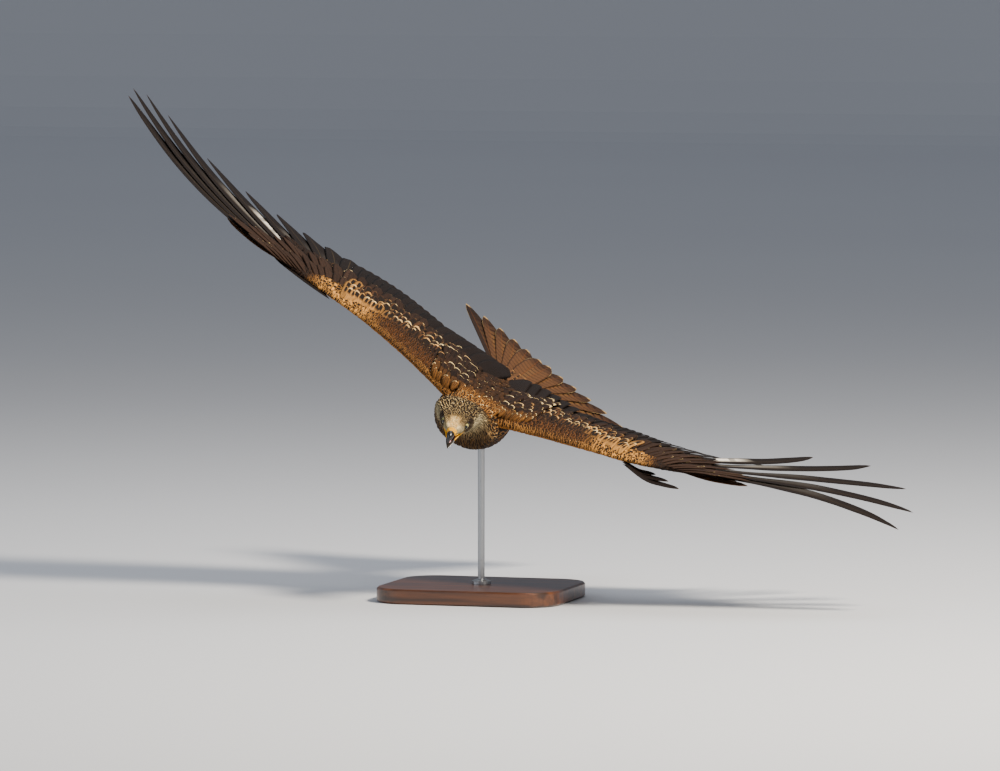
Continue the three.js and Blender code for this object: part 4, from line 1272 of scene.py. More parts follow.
def scapulars(wing):
    """The longer shoulder feathers of one side, over the wing's root, dark with broad pale fringes."""
    p, q = rows_of_roots(
        40, 132, lambda p: 13 + 0.03 * p, lambda p: 13.5,
        lambda p: (33 + 0.06 * p, 102 - 0.16 * np.abs(p - 92)), lambda p: 1.0,
    )
    n = len(p)
    length = (32 + 0.38 * (p - 40)) * rng.uniform(0.9, 1.1, n)
    part = vanes(
        back_cover(wing), p, q, 5 + 0.08 * q + rng.normal(0, 4, n), length, 7.8 + 0.04 * (p - 40),
        shape=ROUND_VANE, rows=7, across=4, steps=BACK_SHAFT_STEPS, root=-3.5,
        tip=lerp(2.2, 4.6, smoothstep(p, 45, 90)), arch=0.15, thickness=0.35,
    )
    fringe = back_fringes(n, BUFF, 0.75)
    marks = marks_of(rng.uniform(0.22, 0.56, n), 0.1)
    ground = varied(each(DARK * 0.75, n))
    place = np.stack([0.5 + wing.side * q / MAP_SIZE, p / MAP_SIZE], -1)
    return dress(part, ground, fringe, each(BLACK * 0.8, n), marks, place)


back_coat = [part for wing in (left_wing, right_wing) for part in (mantle(wing), scapulars(wing))]
plumage("mantle_and_scapulars", back_coat, small_feathers, "body_plumage", "torso")


# Wing feathers


def bake_strip(count, index, part):
    """Bake places that give each long feather a strip of its own, of so many side by side."""
    u = (index[:, None] + 0.5 + 0.4 * part["across"][None]) / count
    v = np.broadcast_to(0.02 + 0.9 * part["along"][None], u.shape)
    return np.stack([u, v], -1)


def bar_marks(part, fringe_width, streak_width, bars):
    """Marks for each point of long feathers, with a bar strength that changes over the vane."""
    marks = np.empty((*part["points"].shape[:2], 3))
    marks[:] = (fringe_width, streak_width, 0)
    marks[:, :, 2:] = bars
    return marks


def over_vane(part):
    """Places along and across the vane and which points lie on its underside, ready for a colour at each."""
    return (part[key][None, :, None] for key in ("along", "across", "under"))


def primaries(wing, chosen, outer, inner, shapes, twist):
    """Those of a wing's primaries that are chosen, numbered from the wrist outward.

    Their inner webs are white and barred towards the root: above on the first finger, with a trace on its
    neighbours, and below on all of them, most on the outer ones.
    """
    i = np.arange(len(PRIMARY_LENGTH))
    last = i[-1]
    root_x, root_y = lerp(*PRIMARY_ROOT_X, i / last), lerp(*PRIMARY_ROOT_Y, i / last)
    lift = np.array(wing.pose["primary_lift"], float)
    angle = np.array(wing.pose["primary_angle"], float)
    part = vanes(
        wing.sheet, -root_x[chosen], root_y[chosen], angle[chosen], PRIMARY_LENGTH[chosen], outer, inner,
        shape=shapes[0], inner_shape=shapes[1], rows=22, across=8, bow=(0.04 + 0.03 * i / last)[chosen],
        curl=lift[chosen], tilt=VANE_TILT, twist=twist, arch=0.03, thickness=0.45, rachis=0.7, wave=0.25,
    )
    t, a, below = over_vane(part)
    inward = smoothstep(-a, lerp(0.1, -0.2, below), lerp(0.35, 0.25, below))
    k = i[chosen][:, None, None]
    seen = smoothstep(k, 3.8, 5) * (1 - smoothstep(k, 5, 6.3))
    white = inward * (1 - smoothstep(t, 0.37 + 0.02 * k, 0.52 + 0.02 * k)) * smoothstep(t, 0.1, 0.2)
    white = white * lerp(0.03 + 0.97 * seen, 0.6 + 0.4 * smoothstep(k, 1.5, 4.5), below)
    ground = FLIGHT * (1 - white) + WHITE * white
    marks = bar_marks(part, 0.05, -0.03, 0.75 * white * smoothstep(t, 0.2, 0.34))
    n = len(k)
    place = bake_strip(WING_STRIPS, i[chosen].astype(float), part)
    return dress(part, ground, each(BROWN * 1.2, n), each(BUFF * 0.07, n), marks, place)


def inner_quills(wing, row, share):
    """Secondaries or tertials, at shares of the way along their row, with faintly barred inner webs."""
    count = row["count"]
    part = vanes(
        wing.sheet, -lerp(*row["x"], share), lerp(*row["y"], share), lerp(*row["angle"], share),
        lerp(*row["length"], share), row["width"], INNER_WEB, rows=14, across=8, tip=row["lift"] * share,
        tilt=VANE_TILT, arch=0.03, thickness=0.4, rachis=0.6, wave=0.25,
    )
    _, a, _ = over_vane(part)
    ground = varied(each(FLIGHT, count), 0.1)[:, None] * row["shade"]
    marks = bar_marks(part, 0.07, 0, 0.5 * smoothstep(-a, 0.1, 0.4))
    place = bake_strip(WING_STRIPS, np.arange(count) + float(row["first_strip"]), part)
    return dress(part, ground, each(BROWN * 1.3, count), ground * 0.8, marks, place)


def flight_set(wing):
    """Primaries, secondaries and tertials of one wing."""
    pose = wing.pose
    finger = np.arange(len(PRIMARY_LENGTH)) >= FIRST_FINGER
    inner, finger_inner = pose["primary_inner"]
    finger_shapes = FINGER_OUTER[pose["fingers"]], FINGER_INNER[pose["fingers"]]
    return [
        primaries(wing, ~finger, 15, inner, (ROUND_VANE, ROUND_VANE), 0),
        primaries(wing, finger, 17, finger_inner, finger_shapes, pose["finger_twist"]),
        inner_quills(wing, SECONDARIES, np.arange(SECONDARIES["count"]) / (SECONDARIES["count"] - 1)),
        inner_quills(wing, TERTIALS, (np.arange(TERTIALS["count"]) + 1) / TERTIALS["count"]),
    ]


def alula_set(wing):
    """The three feathers of the thumb, out and down on the left wing and folded on the right one."""
    thumb = wing.pose["thumb"]
    i = np.arange(3.0)
    below = 2.4 * (2 - i)
    part = vanes(
        wing.sheet, -(112 - 3 * i), 300 - 3 * i, thumb["angle"] - 9 * i, thumb["length"] - 22 * i, 9, 15,
        rows=12, across=6, root=-below, tip=-thumb["drop"] - below, tilt=4, arch=0.05, thickness=0.4,
        rachis=0.5,
    )
    ground = each(FLIGHT, 3)
    place = bake_strip(WING_STRIPS, i + 29, part)
    return [dress(part, ground, each(BROWN * 1.5, 3), ground, each([0.08, 0, 0], 3), place)]


def covert_row(wing, upper, on_hand, count, forward, length, width, lift, colours):
    """A row of coverts over the flight feathers' roots, from the wrist towards the trunk or out on the hand.

    forward is how far their roots lie ahead of the flight feathers' own, and lift how high their tips lie.
    """
    k = np.linspace(0, 1, count)
    if on_hand:
        root_x, root_y = lerp(*PRIMARY_ROOT_X, k) + forward, lerp(*PRIMARY_ROOT_Y, k) - 4
        angle = np.interp(k * 9, np.arange(10), wing.pose["primary_angle"]) - 1
        lengths = lerp(length, length * 1.25, k)
    else:
        along = k * ARM_REACH
        root_x, root_y = lerp(*SECONDARIES["x"], along) + forward, lerp(*SECONDARIES["y"], along)
        angle = lerp(10, -4, k)
        lengths = np.full(count, float(length))
    sign = 1 if upper else -1
    lengths = lengths * rng.uniform(0.86, 1.1, count)
    part = vanes(
        wing.sheet, -root_x, root_y, angle + rng.normal(0, 3.5, count), lengths, width, width * 1.5, rows=8,
        across=4, root=sign * lift * 0.2, tip=sign * lift, tilt=sign * VANE_TILT, arch=sign * 0.06,
        thickness=0.35, rachis=0.3 * sign,
    )
    place = np.stack([root_y / SPAN, 0.5 + sign * (0.05 + 0.0015 * (120 - root_x))], -1)
    return dress(part, *colours(count, k), place)


def plain_row(ground, fringe, streak, fringe_width, streak_width=0.0):
    """A colour rule for a row of one colour, its fringes uneven in width and browner by the trunk."""

    def colours(count, k):
        marks = each([fringe_width, streak_width, 0.0], count)
        marks[:, 0] *= rng.uniform(0.2, 1.4, count)
        rims = mixed(each(fringe, count), BROWN, np.clip(0.5 * k + rng.normal(0.2, 0.3, count), 0, 1))
        return varied(each(ground, count), 0.1), rims, each(streak, count), marks

    return colours


def laced_row(wrist_reach, lace):
    """A colour rule for median coverts: brown, golden by the wrist, with dark streaks and pale fringes."""

    def colours(count, k):
        wrist = 1 - smoothstep(k, wrist_reach * 0.4, wrist_reach)
        ground = mixed(mixed(each(BROWN, count), DARK, rng.random(count)), GOLD, wrist * 0.5)
        fringe = varied(mixed(each(CREAM * 0.85, count), GOLD, rng.random(count)), 0.2)
        width = rng.uniform(0.2, 0.7, count)
        marks = marks_of(rng.uniform(0.1, 1.3, count) * lace, width)
        return varied(ground), fringe, each(BLACK * 1.2, count), marks

    return colours


def under_covert_colours(y, back):
    """Rufous to chestnut with dark streaks, and dark on the hand."""
    n = len(y)
    ground = mixed(each(RUFOUS, n), CHESTNUT, 0.6 * back + 0.3 * rng.random(n))
    ground = mixed(ground, DARK, smoothstep(y, 320, 350))
    marks = marks_of(0.12, 0.2 + 0.15 * rng.random(n))
    return varied(ground), mixed(ground * 1.2, GOLD, 0.4), each(DARK, n), marks


def upper_covert_colours(y, back):
    """Colours of the small coverts, y out from the middle line and back from the leading edge (0 to 1).

    They are brown, golden with dark spots round the wrist and along the leading edge, more rufous by the
    shoulder, darker behind with pale lacing, and dark on the hand.
    """
    n = len(y)
    wrist = smoothstep(y, 205, 262) * (1 - smoothstep(y, 318, 350))
    edge = (1 - smoothstep(back, 0.02, 0.12 + 0.14 * rng.random(n))) * (1 - smoothstep(y, 330, 380))
    edge = edge * (1 - 0.6 * smoothstep(y, 90, 130) * (1 - smoothstep(y, 190, 230)))
    shoulder = 1 - smoothstep(y, 40, 120)
    lace = smoothstep(back, 0.42, 0.66) * (0.45 + 0.55 * wrist) * (1 - smoothstep(y, 345, 365))
    brown = mixed(each(BROWN * 0.85, n), CHESTNUT, 0.3 * rng.random(n))
    gold = mixed(each(GOLD, n), RUFOUS, 0.3 * rng.random(n) + 0.5 * shoulder)
    golden = np.clip(np.maximum(wrist * (1 - 0.5 * smoothstep(back, 0.5, 0.8)), 0.45 * edge), 0, 1)
    dark = smoothstep(back, 0.35, 0.7) * (1 - 0.45 * wrist) + smoothstep(y, 335, 358)
    ground = mixed(mixed(brown, gold, golden), DARK, np.clip(dark, 0, 1))
    fringe = mixed(ground * 1.25, gold, 0.35)
    pale = mixed(each(CREAM, n), GOLD, 0.6 * rng.random(n))
    fringe = mixed(fringe, pale, np.clip(lace * (rng.random(n) < 0.8), 0, 1))
    fringe = mixed(fringe, DARK, smoothstep(y, 350, 375) * 0.9)
    spot = (rng.random(n) < 0.75) * (0.36 + 0.4 * rng.random(n))
    width = lerp(0.16 + 0.2 * rng.random(n), spot, golden)
    marks = marks_of(0.12 + (0.16 + 0.16 * rng.random(n)) * lace, width)
    return varied(ground, 0.14), np.clip(fringe, 0, 1), each(BLACK * 1.2, n), marks


def lesser_coverts(wing, upper):
    """The small feathers of a wing's arm and hand, from the leading edge back to the median coverts."""
    p, q = [], []
    at, end = (-0.1, 0.6) if upper else (0.02, 0.66)
    odd = 0
    short, long, chord = 9, 25, 250
    while at < end:
        length = lerp(short, long, np.clip(at / end, 0, 1) ** 1.2)
        y = np.arange(16, 470 - 90 * max(at, 0), 0.42 * length) + 0.21 * length * odd
        q.append(y + rng.normal(0, 0.6, len(y)))
        p.append(np.full(len(y), at) + rng.normal(0, 0.006, len(y)))
        at += 0.3 * length / (chord * max(2 * abs(at), 0.2))
        odd = 1 - odd
    p, q = np.concatenate(p), np.concatenate(q)
    n = len(p)
    back = np.clip(p / end, 0, 1)
    length = lerp(short, long, back**1.2) * rng.uniform(0.85, 1.15, n)
    turn = np.interp(q, [0, 290, 400, 480], [2, 8, 40, 70])
    part = vanes(
        wing.cover(upper), p, q, turn + rng.normal(0, 7, n), length, length * 0.3, shape=SOFT_VANE, rows=4,
        steps=WING_STEPS, root=-1.5, tip=rng.uniform(0.7, 1.5, n), arch=0.1, thickness=0.22,
    )
    colours = (upper_covert_colours if upper else under_covert_colours)(q, back)
    place = np.stack([q / SPAN, 0.5 + (0.02 + 0.45 * back) * (1 if upper else -1)], -1)
    return dress(part, *colours, place)


def make_wing(wing, name):
    """All the feathers of one wing: flight feathers, thumb, and the coverts of both faces."""
    slot, node = "wing_feathers", f"wing_{name}"
    plumage(f"flight_feathers_{name}", flight_set(wing) + alula_set(wing), flight_feathers, slot, node)
    greater = plain_row(DARK * 0.9, BUFF, BLACK, 0.08)
    hand = plain_row(DARK * 1.15, CREAM, BLACK, 0.09)
    greater_below = plain_row(BROWN * 1.2, BUFF, DARK, 0.1, 0.1)
    # Each row: on the hand or not, count, forward, length, half width, lift and colour rule
    above = [
        (False, 19, 12, 92, 9.5, 5.2, greater),
        (True, 13, 8, 100, 9.5, 5.2, hand),
        (False, 22, 24, 72, 8.5, 7.2, laced_row(0.1, 0.14)),
        (False, 28, 34, 54, 7, 9.2, laced_row(0.1, 0.36)),
        (False, 34, 42, 42, 5.5, 10.6, laced_row(0.42, 0.4)),
        (True, 12, 18, 58, 7.5, 7, hand),
    ]
    below = [
        (False, 19, 12, 84, 9.5, 5.2, greater_below),
        (True, 13, 8, 92, 9.5, 5.2, greater_below),
        (False, 22, 26, 62, 8.5, 7.4, plain_row(CHESTNUT, GOLD, DARK, 0.12, 0.25)),
    ]
    for face, upper, rows in (("upper", True, above), ("under", False, below)):
        parts = [covert_row(wing, upper, *row) for row in rows] + [lesser_coverts(wing, upper)]
        plumage(f"{face}_coverts_{name}", parts, small_feathers, slot, node)


make_wing(left_wing, "left")
make_wing(right_wing, "right")


# Tail


def rectrices(side):
    """The six tail feathers of one side, numbered from the middle, the left middle one lying on top.

    Their inner webs are paler and barred, a dark band crosses them before the tip, and the outer web of the
    outermost is nearly black, as is most of that feather on the right.
    """
    i = np.arange(len(RECTRIX_LENGTH))
    share, n = i / i[-1], len(i)
    on_top = np.where((i == 0) & (side > 0), 1.7, 0)
    part = vanes(
        tail_sheet(side), np.full(n, RECTRIX_ROOT), 2 + 1.7 * i, TAIL_SPREAD * (i + 0.35) / (n - 0.65),
        RECTRIX_LENGTH - RECTRIX_ROOT, lerp(18, 13, share), lerp(26, 31, share), rows=22, across=8,
        bow=-0.02 * i / n, root=on_top, tip=on_top, tilt=TAIL_TILT, arch=0.03, thickness=0.45, rachis=0.7,
        wave=0.3,
    )
    t, a, _ = over_vane(part)
    k = i[:, None, None]
    band = smoothstep(t, 0.74, 0.92) * (1 - smoothstep(t, 0.96, 0.99))
    inner = smoothstep(-a, -0.2, 0.25) * (1 - smoothstep(t, 0.6, 0.85)) * (0.3 + 0.7 * np.minimum(k, 1))
    web = RUDDY * (1 - 0.45 * inner) + TAN * 0.45 * inner
    ground = (web * (1 - 0.8 * band) + DARK * 0.8 * band) * (1 - 0.06 * k)
    outermost = (k == n - 1) * np.maximum(smoothstep(a, -0.05, 0.1) * 0.85, 0.7 * (side < 0))
    ground = ground * (1 - outermost) + BLACK * 1.3 * outermost
    bars = 0.5 * smoothstep(-a, -0.35, 0.2) * smoothstep(t, 0.15, 0.3)
    marks = bar_marks(part, 0.1, -0.03, bars * (0.7 + 0.3 * smoothstep(k, 0.5, 2)) + 0.42)
    place = bake_strip(TAIL_STRIPS, i + (0.0 if side > 0 else float(n)), part)
    return dress(part, ground, each(BUFF * 0.9, n), each(CHESTNUT * 0.6, n), marks, place)


def tail_coverts(side, upper):
    """Rows of coverts over the tail's root, above dark rufous and below buff."""
    sign = 1 if upper else -1
    parts = []
    for row, (length, level) in enumerate(((115, 4.6), (88, 6.2), (64, 7.8))):
        n = 5
        i = np.arange(float(n))
        part = vanes(
            tail_sheet(side), np.full(n, 10.0 - 6 * row), 2 + 3.2 * i, 2 + 5.6 * i, length - 5 * i, 10, 12,
            rows=8, across=4, root=sign * level * 0.4, tip=sign * level, tilt=sign * TAIL_TILT,
            arch=0.1 * sign, thickness=0.35,
        )
        ground = varied(each(RUDDY if upper else BUFF, n), 0.1)
        place = np.stack([0.5 + side * (0.02 + 0.03 * i), np.full(n, 0.3 + 0.2 * row) + 0.05 * sign], -1)
        parts.append(dress(part, ground, each(GOLD, n), each(DARK, n), each([0.12, 0.16, 0], n), place))
    return parts


plumage("tail_feathers", [rectrices(1), rectrices(-1)], tail_vanes, "tail_feathers", "tail")
root_coat = [part for side in (1, -1) for upper in (True, False) for part in tail_coverts(side, upper)]
plumage("tail_coverts", root_coat, small_feathers, "tail_feathers", "tail")


# Thighs and feet


def thigh_feathers(side):
    """Loose rufous feathers down the thigh, a round limb whose radius changes along it."""
    start, end = mirrored(THIGH["start"], side), mirrored(THIGH["end"], side)
    radius = through(list(zip((0, 0.5, 1), THIGH["radius"])))
    length = float(np.linalg.norm(end - start))
    along = (end - start) / length
    across = unit(np.cross([0, 0, 1.0], along))
    over = np.cross(along, across)

    def bare(p, q):
        r = radius(p / length)
        round_it = across * np.cos(q)[..., None] + over * np.sin(q)[..., None]
        return start + along * p[..., None] + round_it * r[..., None]

    def cover(p, q, h):
        out = unit(bare(p, q) - start - along * p[..., None])
        return bare(p, q) + out * np.asarray(h)[..., None]

    p, q = rows_of_roots(
        4, length - 4, lambda p: 5.0, lambda p: 5.0, lambda p: (0, 2 * math.pi),
        lambda p: float(radius(p / length)),
    )
    n = len(p)
    part = vanes(
        cover, p, q, rng.normal(0, 5, n), rng.uniform(20, 27, n), 4.2, rows=5, steps=BODY_STEPS, root=-2.5,
        tip=0.8, arch=0.2,
    )
    ground = varied(mixed(each(RUFOUS, n), CHESTNUT, rng.random(n) * 0.6))
    place = np.stack([q / (2 * math.pi) % 1, (p / length) * 0.45 + (0.5 if side > 0 else 0)], -1)
    return dress(part, ground, each(GOLD, n), each(DARK, n), each([0.1, 0.14, 0.0], n), place)


thigh_coat = [thigh_feathers(1), thigh_feathers(-1)]
plumage("thigh_feathers", thigh_coat, small_feathers, "leg_plumage", "thigh_left", "thigh_right")


def scaled(rings, depth, count):
    """Rings swollen into overlapping plates: the radius rises along each plate and drops at its edge."""
    middle = rings.mean(1, keepdims=True)
    saw = (np.linspace(0, count, len(rings)) % 1.0) ** 2
    size = np.linalg.norm(rings - middle, axis=-1, keepdims=True)
    return middle + (rings - middle) * (1 + depth * saw[:, None, None] / np.maximum(size, 1))


def claw(root, before):
    """A curved, tapered claw that goes on from a toe and turns down and forward."""
    way = unit(root - before)
    down = np.array([0.3, 0, -1.0])
    path = [root - way * 1.5, root + way * 4 + down, root + way * 6 + down * 5, root + way * 5.5 + down * 9.5]
    return tube(path, (2.1, 1.7, 1.0, 0.15), 14, 16)


def foot(side, name):
    """Bare leg with plate-like scales, four toes and four black claws, clenched as in flight."""
    start, ankle = mirrored(THIGH["end"], side), mirrored(SHANK["end"], side)
    leg = tube([start, (start + ankle) / 2, ankle], SHANK["radius"], 28, 60)
    limbs, claws = [scaled(leg, 0.35, 14)], []
    for i, length in enumerate(TOE_LENGTH):
        spread = (i - 1) * TOE_SPREAD * side
        knuckle = ankle + (-0.55 * length, spread * length, -3)
        bend = ankle + (-0.75 * length, spread * length * 1.3, -14)
        tip = ankle + (-0.6 * length, spread * length * 1.2, -19)
        limbs.append(scaled(tube([ankle, knuckle, bend, tip], (3.9, 3.4, 2.9, 2.2), 20, 40), 0.25, 9))
        claws.append(claw(tip, bend))
    heel = ankle + (6, 0, -8)
    end = heel + (-4, 0, -HIND_TOE * 0.4)
    limbs.append(scaled(tube([ankle, heel, end], (3.6, 3.2, 2.4), 20, 30), 0.25, 7))
    claws.append(claw(end, heel))
    finish(solid(f"foot_{name}_scaled", *limbs), leg_scales, "bare_skin", f"foot_{name}")
    finish(solid(f"claws_{name}", *claws), horn, "bare_skin", f"foot_{name}")


for side, name in SIDES:
    foot(side, name)


# Head details


def oval_rings(x, z, half, up, down, place, sides=40, tilt=0.0, ridge=1.0):
    """Oval rings in the head's or the jaw's frame, tipped forward by tilt; ridge narrows the upper half."""
    a = circle(sides)[None, :]
    rows = len(x)
    x, z, half, up, down, tilt = (np.broadcast_to(v, (rows,))[:, None] for v in (x, z, half, up, down, tilt))
    y = half * np.sign(np.cos(a)) * np.abs(np.cos(a)) ** np.where(np.sin(a) > 0, ridge, 0.8)
    height = np.where(np.sin(a) > 0, up, down) * np.sin(a)
    return place(np.stack([x + height * np.sin(tilt), y, z + height * np.cos(tilt)], -1))


def upper_bill():
    """The hooked upper bill: ovals along a quadratic curve, thinning with a power of the way to the point."""
    t = np.linspace(0, 1, 36)
    a, b, c = (np.array(HORN[key], float) for key in ("start", "bend", "tip"))
    s = t[:, None]
    at = (1 - s) ** 2 * a + 2 * s * (1 - s) * b + s * s * c
    way = (1 - s) * (b - a) + s * (c - b)
    wide = HORN["width"] * (1 - t**1.8) + HORN["point"] * t
    high = HORN["height"] * (1 - t**1.8) + HORN["point"] * t
    tilt = -np.arctan2(way[:, 1], way[:, 0])
    return oval_rings(at[:, 0] + BILL_AHEAD, at[:, 1], wide, high, high, from_head, tilt=tilt, ridge=1.25)


def lower_bill():
    """The lower bill: a trough of half ovals, flat above, that narrows to a blunt tip."""
    t = np.linspace(0, 1, 24)
    x = lerp(JAW["start"] + BILL_AHEAD, JAW["end"], t)
    down = JAW["depth"] * (1 - 0.75 * t**1.5)
    half = lerp(JAW["width"], JAW["point"], t**1.6)
    return oval_rings(x, JAW["top"], half, 0.5, down, from_jaw)


def cere_rings():
    """The swollen yellow cere round the bill's root, with a dent for each nostril in a low swelling."""
    t = np.linspace(0, 1, 26)
    x = lerp(CERE["start"] - 0.6, CERE["end"] + 0.2, t)
    up, down = lerp(*CERE["top"], t), lerp(*CERE["bottom"], t)
    half = lerp(*CERE["width"], t) + 0.5 * np.sin(np.pi * t)
    high = (up - down) / 2
    rings = oval_rings(x, down + high, half, high + 0.4 * np.sin(np.pi * t), high, lambda p: p, 64)
    for side in (1, -1):
        dx = (rings[..., 0] - NOSTRIL["x"]) / NOSTRIL["length"]
        dz = (rings[..., 2] - NOSTRIL["z"] - 0.3 * dx) / NOSTRIL["height"]
        dent = np.exp(-((dx**2 + dz**2) ** 1.5)) * (rings[..., 1] * side > 0)
        rings[..., 1] -= side * NOSTRIL["depth"] * dent
        swell = np.exp(-((dx / 1.7) ** 2 + (dz / 2.4) ** 2)) * (rings[..., 1] * side > 0)
        rings[..., 1] += side * NOSTRIL["swell"] * swell
    return from_head(rings)


def lips(place, edge, top, thick):
    """A rounded yellow lip along each edge of one jaw, through places (x, y) of its left edge."""
    radii = [0.5 * thick, thick, thick, 0.9 * thick, 0.2 * thick]
    return [tube(place(np.array([(x, side * y, top) for x, y in edge])), radii, 14, 40) for side in (1, -1)]


def tongue_rings():
    """A flat tongue that narrows and thins towards its rounded tip."""
    t = np.linspace(0, 1, 24)
    fade = np.sqrt(np.clip(1 - t**4, 0.02, 1))
    half = TONGUE["width"] * (1 - 0.35 * t) * fade
    x = lerp(TONGUE["start"], TONGUE["end"], t)
    return oval_rings(x, JAW["top"] + TONGUE["lift"], half, 0.85 * fade, 0.7 * fade, from_jaw, 28)


def eye_placed(points, side, ahead=0):
    """Points drawn about an eye that looks along x, put in their socket and turned ahead by some degrees."""
    angle = (90 - EYE["forward"] - ahead) * side
    return from_head(turned(points, angle, 0, 0) + eye_middle(side))


def eye_material():
    """A pale iris with fine rays round a black pupil, ringed dark at its rim, under a thin wet coat."""
    material, tree, shader = new_material(
        "eye", 0.15, Specular_IOR_Level=0.25, Coat_Weight=0.15, Coat_Roughness=0.03,
    )
    where = tree.add("ShaderNodeUVMap", uv_map="Vane").outputs[0]
    out = tree.add("ShaderNodeSeparateXYZ", {0: where}).outputs[1]
    inputs = {0: where, 1: (26.0, 1.5, 1.0)}
    rays = tree.noise(2.0, tree.add("ShaderNodeVectorMath", inputs, operation="MULTIPLY").outputs[0])
    iris = tree.mix(tree.ramp(rays, 0.3, 0.7), rgba("8f8540"), rgba("cdbf74"))
    iris = tree.mix(tree.ramp(out, 0.74, 0.9, 0.0, 0.7), iris, rgba("3a3020"))
    colour = tree.mix(tree.ramp(out, 0.43, 0.47), rgba("030303"), iris)
    colour = tree.mix(tree.ramp(out, 0.88, 0.95), colour, rgba("15110e"))
    tree.give(shader.inputs["Base Color"], colour)
    return material


def eyeball(side, name, material):
    """A sphere with a bulging cornea; its map runs round the gaze and out from it to the rim of the iris."""
    rows, sides = 40, 48
    a = np.linspace(0.02, math.pi - 0.02, rows)
    r = (EYE["radius"] - 0.15 + 0.45 * np.exp(-((a / 0.45) ** 2)))[:, None]
    b = circle(sides)[None, :]
    ahead, off = r * np.cos(a)[:, None], r * np.sin(a)[:, None]
    rings = np.stack([ahead + 0 * b, off * np.cos(b), off * np.sin(b)], -1)
    made = solid(f"eyeball_{name}", eye_placed(rings, side, EYE["look"]))
    rim = np.clip(np.sin(a) * EYE["radius"] / EYE["opening"] * 0.9, 0, 1)
    out = np.repeat(np.where(a < 1.5, rim, 1), sides)
    turn = np.tile(np.linspace(0, 1, sides, endpoint=False), rows)
    add_map(made, "Vane", np.stack([np.append(turn, [0, 0]), np.append(out, [0, 1])], -1))
    finish(made, material, "eye", f"eye_{name}")


def eyelid(side, name, material):
    """A thick wrinkled ring round an eye's opening, heavier and drawn lower under the brow."""
    rows, sides = 72, 14
    b, c = circle(rows)[:, None], circle(sides)[None, :]
    brow = smoothstep(np.sin(b), 0.2, 0.9)
    ring_radius = EYE["opening"] * (1 - 0.1 * brow) + 0.2
    thick = 0.85 + 0.35 * brow + 0.12 * np.sin(9 * b) * np.cos(c)
    reach = ring_radius + thick * np.cos(c)
    depth = np.sqrt(EYE["radius"] ** 2 - ring_radius**2) + 0.35 + thick * np.sin(c) * 0.9
    lid = eye_placed(np.stack([depth + 0 * reach, reach * np.cos(b), reach * np.sin(b)], -1), side)
    quads = grid_faces(rows + 1, sides) % (rows * sides)
    made = new_mesh(f"eyelid_{name}", world(lid.reshape(-1, 3)), quads, np.zeros((0, 3), int))
    finish(made, material, "head_plumage", "head")


glassy = eye_material()
lid_skin = mottled_material("eyelid", "3a322c", "191512", 700.0, 0.5)
for side, name in SIDES:
    eyeball(side, name, glassy)
    eyelid(side, name, lid_skin)
finish(solid("cere_waxy", cere_rings()), wax, "bare_skin", "cere")
finish(solid("bill_upper_hook", upper_bill()), horn, "horn", "bill_upper")
finish(solid("bill_lower_trough", lower_bill()), horn, "horn", "bill_lower")
finish(solid("tongue_soft", tongue_rings()), wet_mouth, "tongue", "tongue")
gape = lips(from_head, UPPER_LIP, PALATE + 0.2, 0.8) + lips(from_jaw, LOWER_LIP, JAW["top"] - 0.3, 1.1)
finish(solid("gape_edges", *gape), wax, "bare_skin", "head")


# Stand


def wood_material():
    """Dark varnished wood: long grain lines bent by noise, with pores."""
    material, tree, shader = new_material("stand wood", 0.38, Coat_Weight=0.4, Coat_Roughness=0.2)
    where = tree.object_place()
    bands = tree.noise(90.0, tree.stretched(where, (0.05, 1.0, 1.0)), 5.0)
    pores = tree.noise(900.0, tree.stretched(where, (0.06, 1.0, 1.0)))
    colour = tree.mix(tree.ramp(bands, 0.3, 0.7), rgba("2e180c"), rgba("5e3519"))
    colour = tree.mix(tree.ramp(pores, 0.6, 0.75, 0.0, 0.6), colour, rgba("22130b"))
    tree.give(shader.inputs["Base Color"], colour)
    tree.relief(shader, pores, 0.15, 0.0003)
    return material


def steel_material():
    """Brushed steel: fine scratches along the rod."""
    material, tree, shader = new_material("stand steel", 0.32, Metallic=1.0)
    brushed = tree.noise(2500.0, tree.stretched(tree.object_place(), (1.0, 1.0, 0.03)))
    tree.give(shader.inputs["Base Color"], tree.mix(brushed, rgba("8b8d90"), rgba("b9bbbe")))
    tree.give(shader.inputs["Roughness"], tree.ramp(brushed, 0.2, 0.8, 0.25, 0.42))
    return material


def repaint(node, material):
    """A carried-over solid gets a better material in its slots."""
    made = frame["nodes"][node]
    made.data.materials.clear()
    made.data.materials.append(material)


repaint("stand_base", wood_material())
repaint("stand_rod", steel_material())


# Floor, light and camera


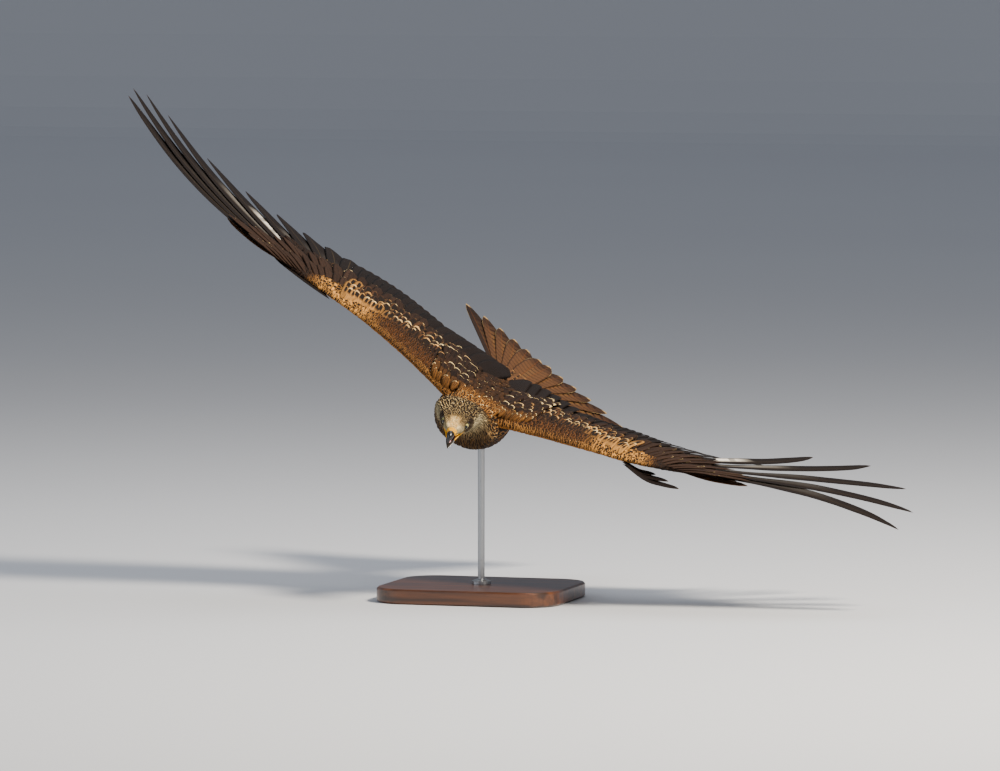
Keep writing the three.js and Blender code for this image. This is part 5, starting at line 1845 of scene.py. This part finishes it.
def make_floor():
    """A pale floor that curves up into a backdrop far behind."""
    rows = 60
    along = np.linspace(0, 1, rows)
    depth = np.interp(along, [0, 0.5, 1], [-14, 22, 34])
    height = 14 * smoothstep(along, 0.5, 1.0) ** 1.2 - FLOOR_GAP
    points = [(x, d, h) for d, h in zip(depth, height) for x in (-30.0, 30.0)]
    k = np.arange(rows - 1)[:, None] * 2
    quads = k + np.array([[0, 1, 3, 2]])
    mesh = bpy.data.meshes.new("floor")
    mesh.from_pydata(points, [], quads.tolist())
    made = bpy.data.objects.new("floor", mesh)
    bpy.context.collection.objects.link(made)
    material, tree, shader = new_material("pale floor", 0.85)
    shade = tree.noise(0.35, detail=1.0)
    tree.give(shader.inputs["Base Color"], tree.mix(shade, rgba("c8cad0"), rgba("cccfd4")))
    mesh.materials.append(material)


def area_light(name, place, aim, size, power, colour):
    """A square soft light at a place, turned to its aim."""
    data = bpy.data.lights.new(name, "AREA")
    data.size = size
    data.energy = power
    data.color = colour
    made = bpy.data.objects.new(name, data)
    made.location = place
    way = np.array(aim, float) - np.array(place, float)
    yaw = math.atan2(way[1], way[0])
    pitch = math.atan2(math.hypot(way[0], way[1]), -way[2])
    made.rotation_euler = (pitch, 0, yaw - math.pi / 2)
    bpy.context.collection.objects.link(made)


def make_lights():
    """A warm key high on the right in front, a cool fill, a soft top light and a pale surround."""
    world_light = bpy.data.worlds.new("surround")
    world_light.use_nodes = True
    sky = world_light.node_tree.nodes["Background"]
    sky.inputs["Color"].default_value = (0.82, 0.87, 0.97, 1)
    sky.inputs["Strength"].default_value = 0.34
    bpy.context.scene.world = world_light
    aim = (0, 0, 0.35)
    area_light("key", (2.9, -1.5, 3.3), aim, 0.8, 470, (1.0, 0.9, 0.75))
    area_light("fill", (-3.0, -2.5, 1.6), aim, 2.5, 42, (0.85, 0.92, 1.0))
    area_light("top", (0.0, 1.0, 3.6), aim, 2.5, 60, (0.95, 0.97, 1.0))


def make_camera():
    """The camera, aimed beside the bird's middle so that the photograph's framing is kept."""
    a, e = math.radians(CAMERA_AZIMUTH), math.radians(CAMERA_ELEVATION)
    back = np.array([math.sin(a) * math.cos(e), -math.cos(a) * math.cos(e), math.sin(e)])
    right = np.array([math.cos(a), math.sin(a), 0.0])
    up = np.cross(back, right)
    aim = np.array(BIRD_PLACE) * 0.001 + AIM_RIGHT * right + AIM_UP * up
    data = bpy.data.cameras.new("camera")
    data.lens = LENS
    data.sensor_width = 36
    data.clip_end = 100
    made = bpy.data.objects.new("camera", data)
    made.location = aim + back * CAMERA_DISTANCE
    made.rotation_euler = (math.pi / 2 - e, 0, a)
    bpy.context.collection.objects.link(made)
    bpy.context.scene.camera = made


make_floor()
make_lights()
make_camera()
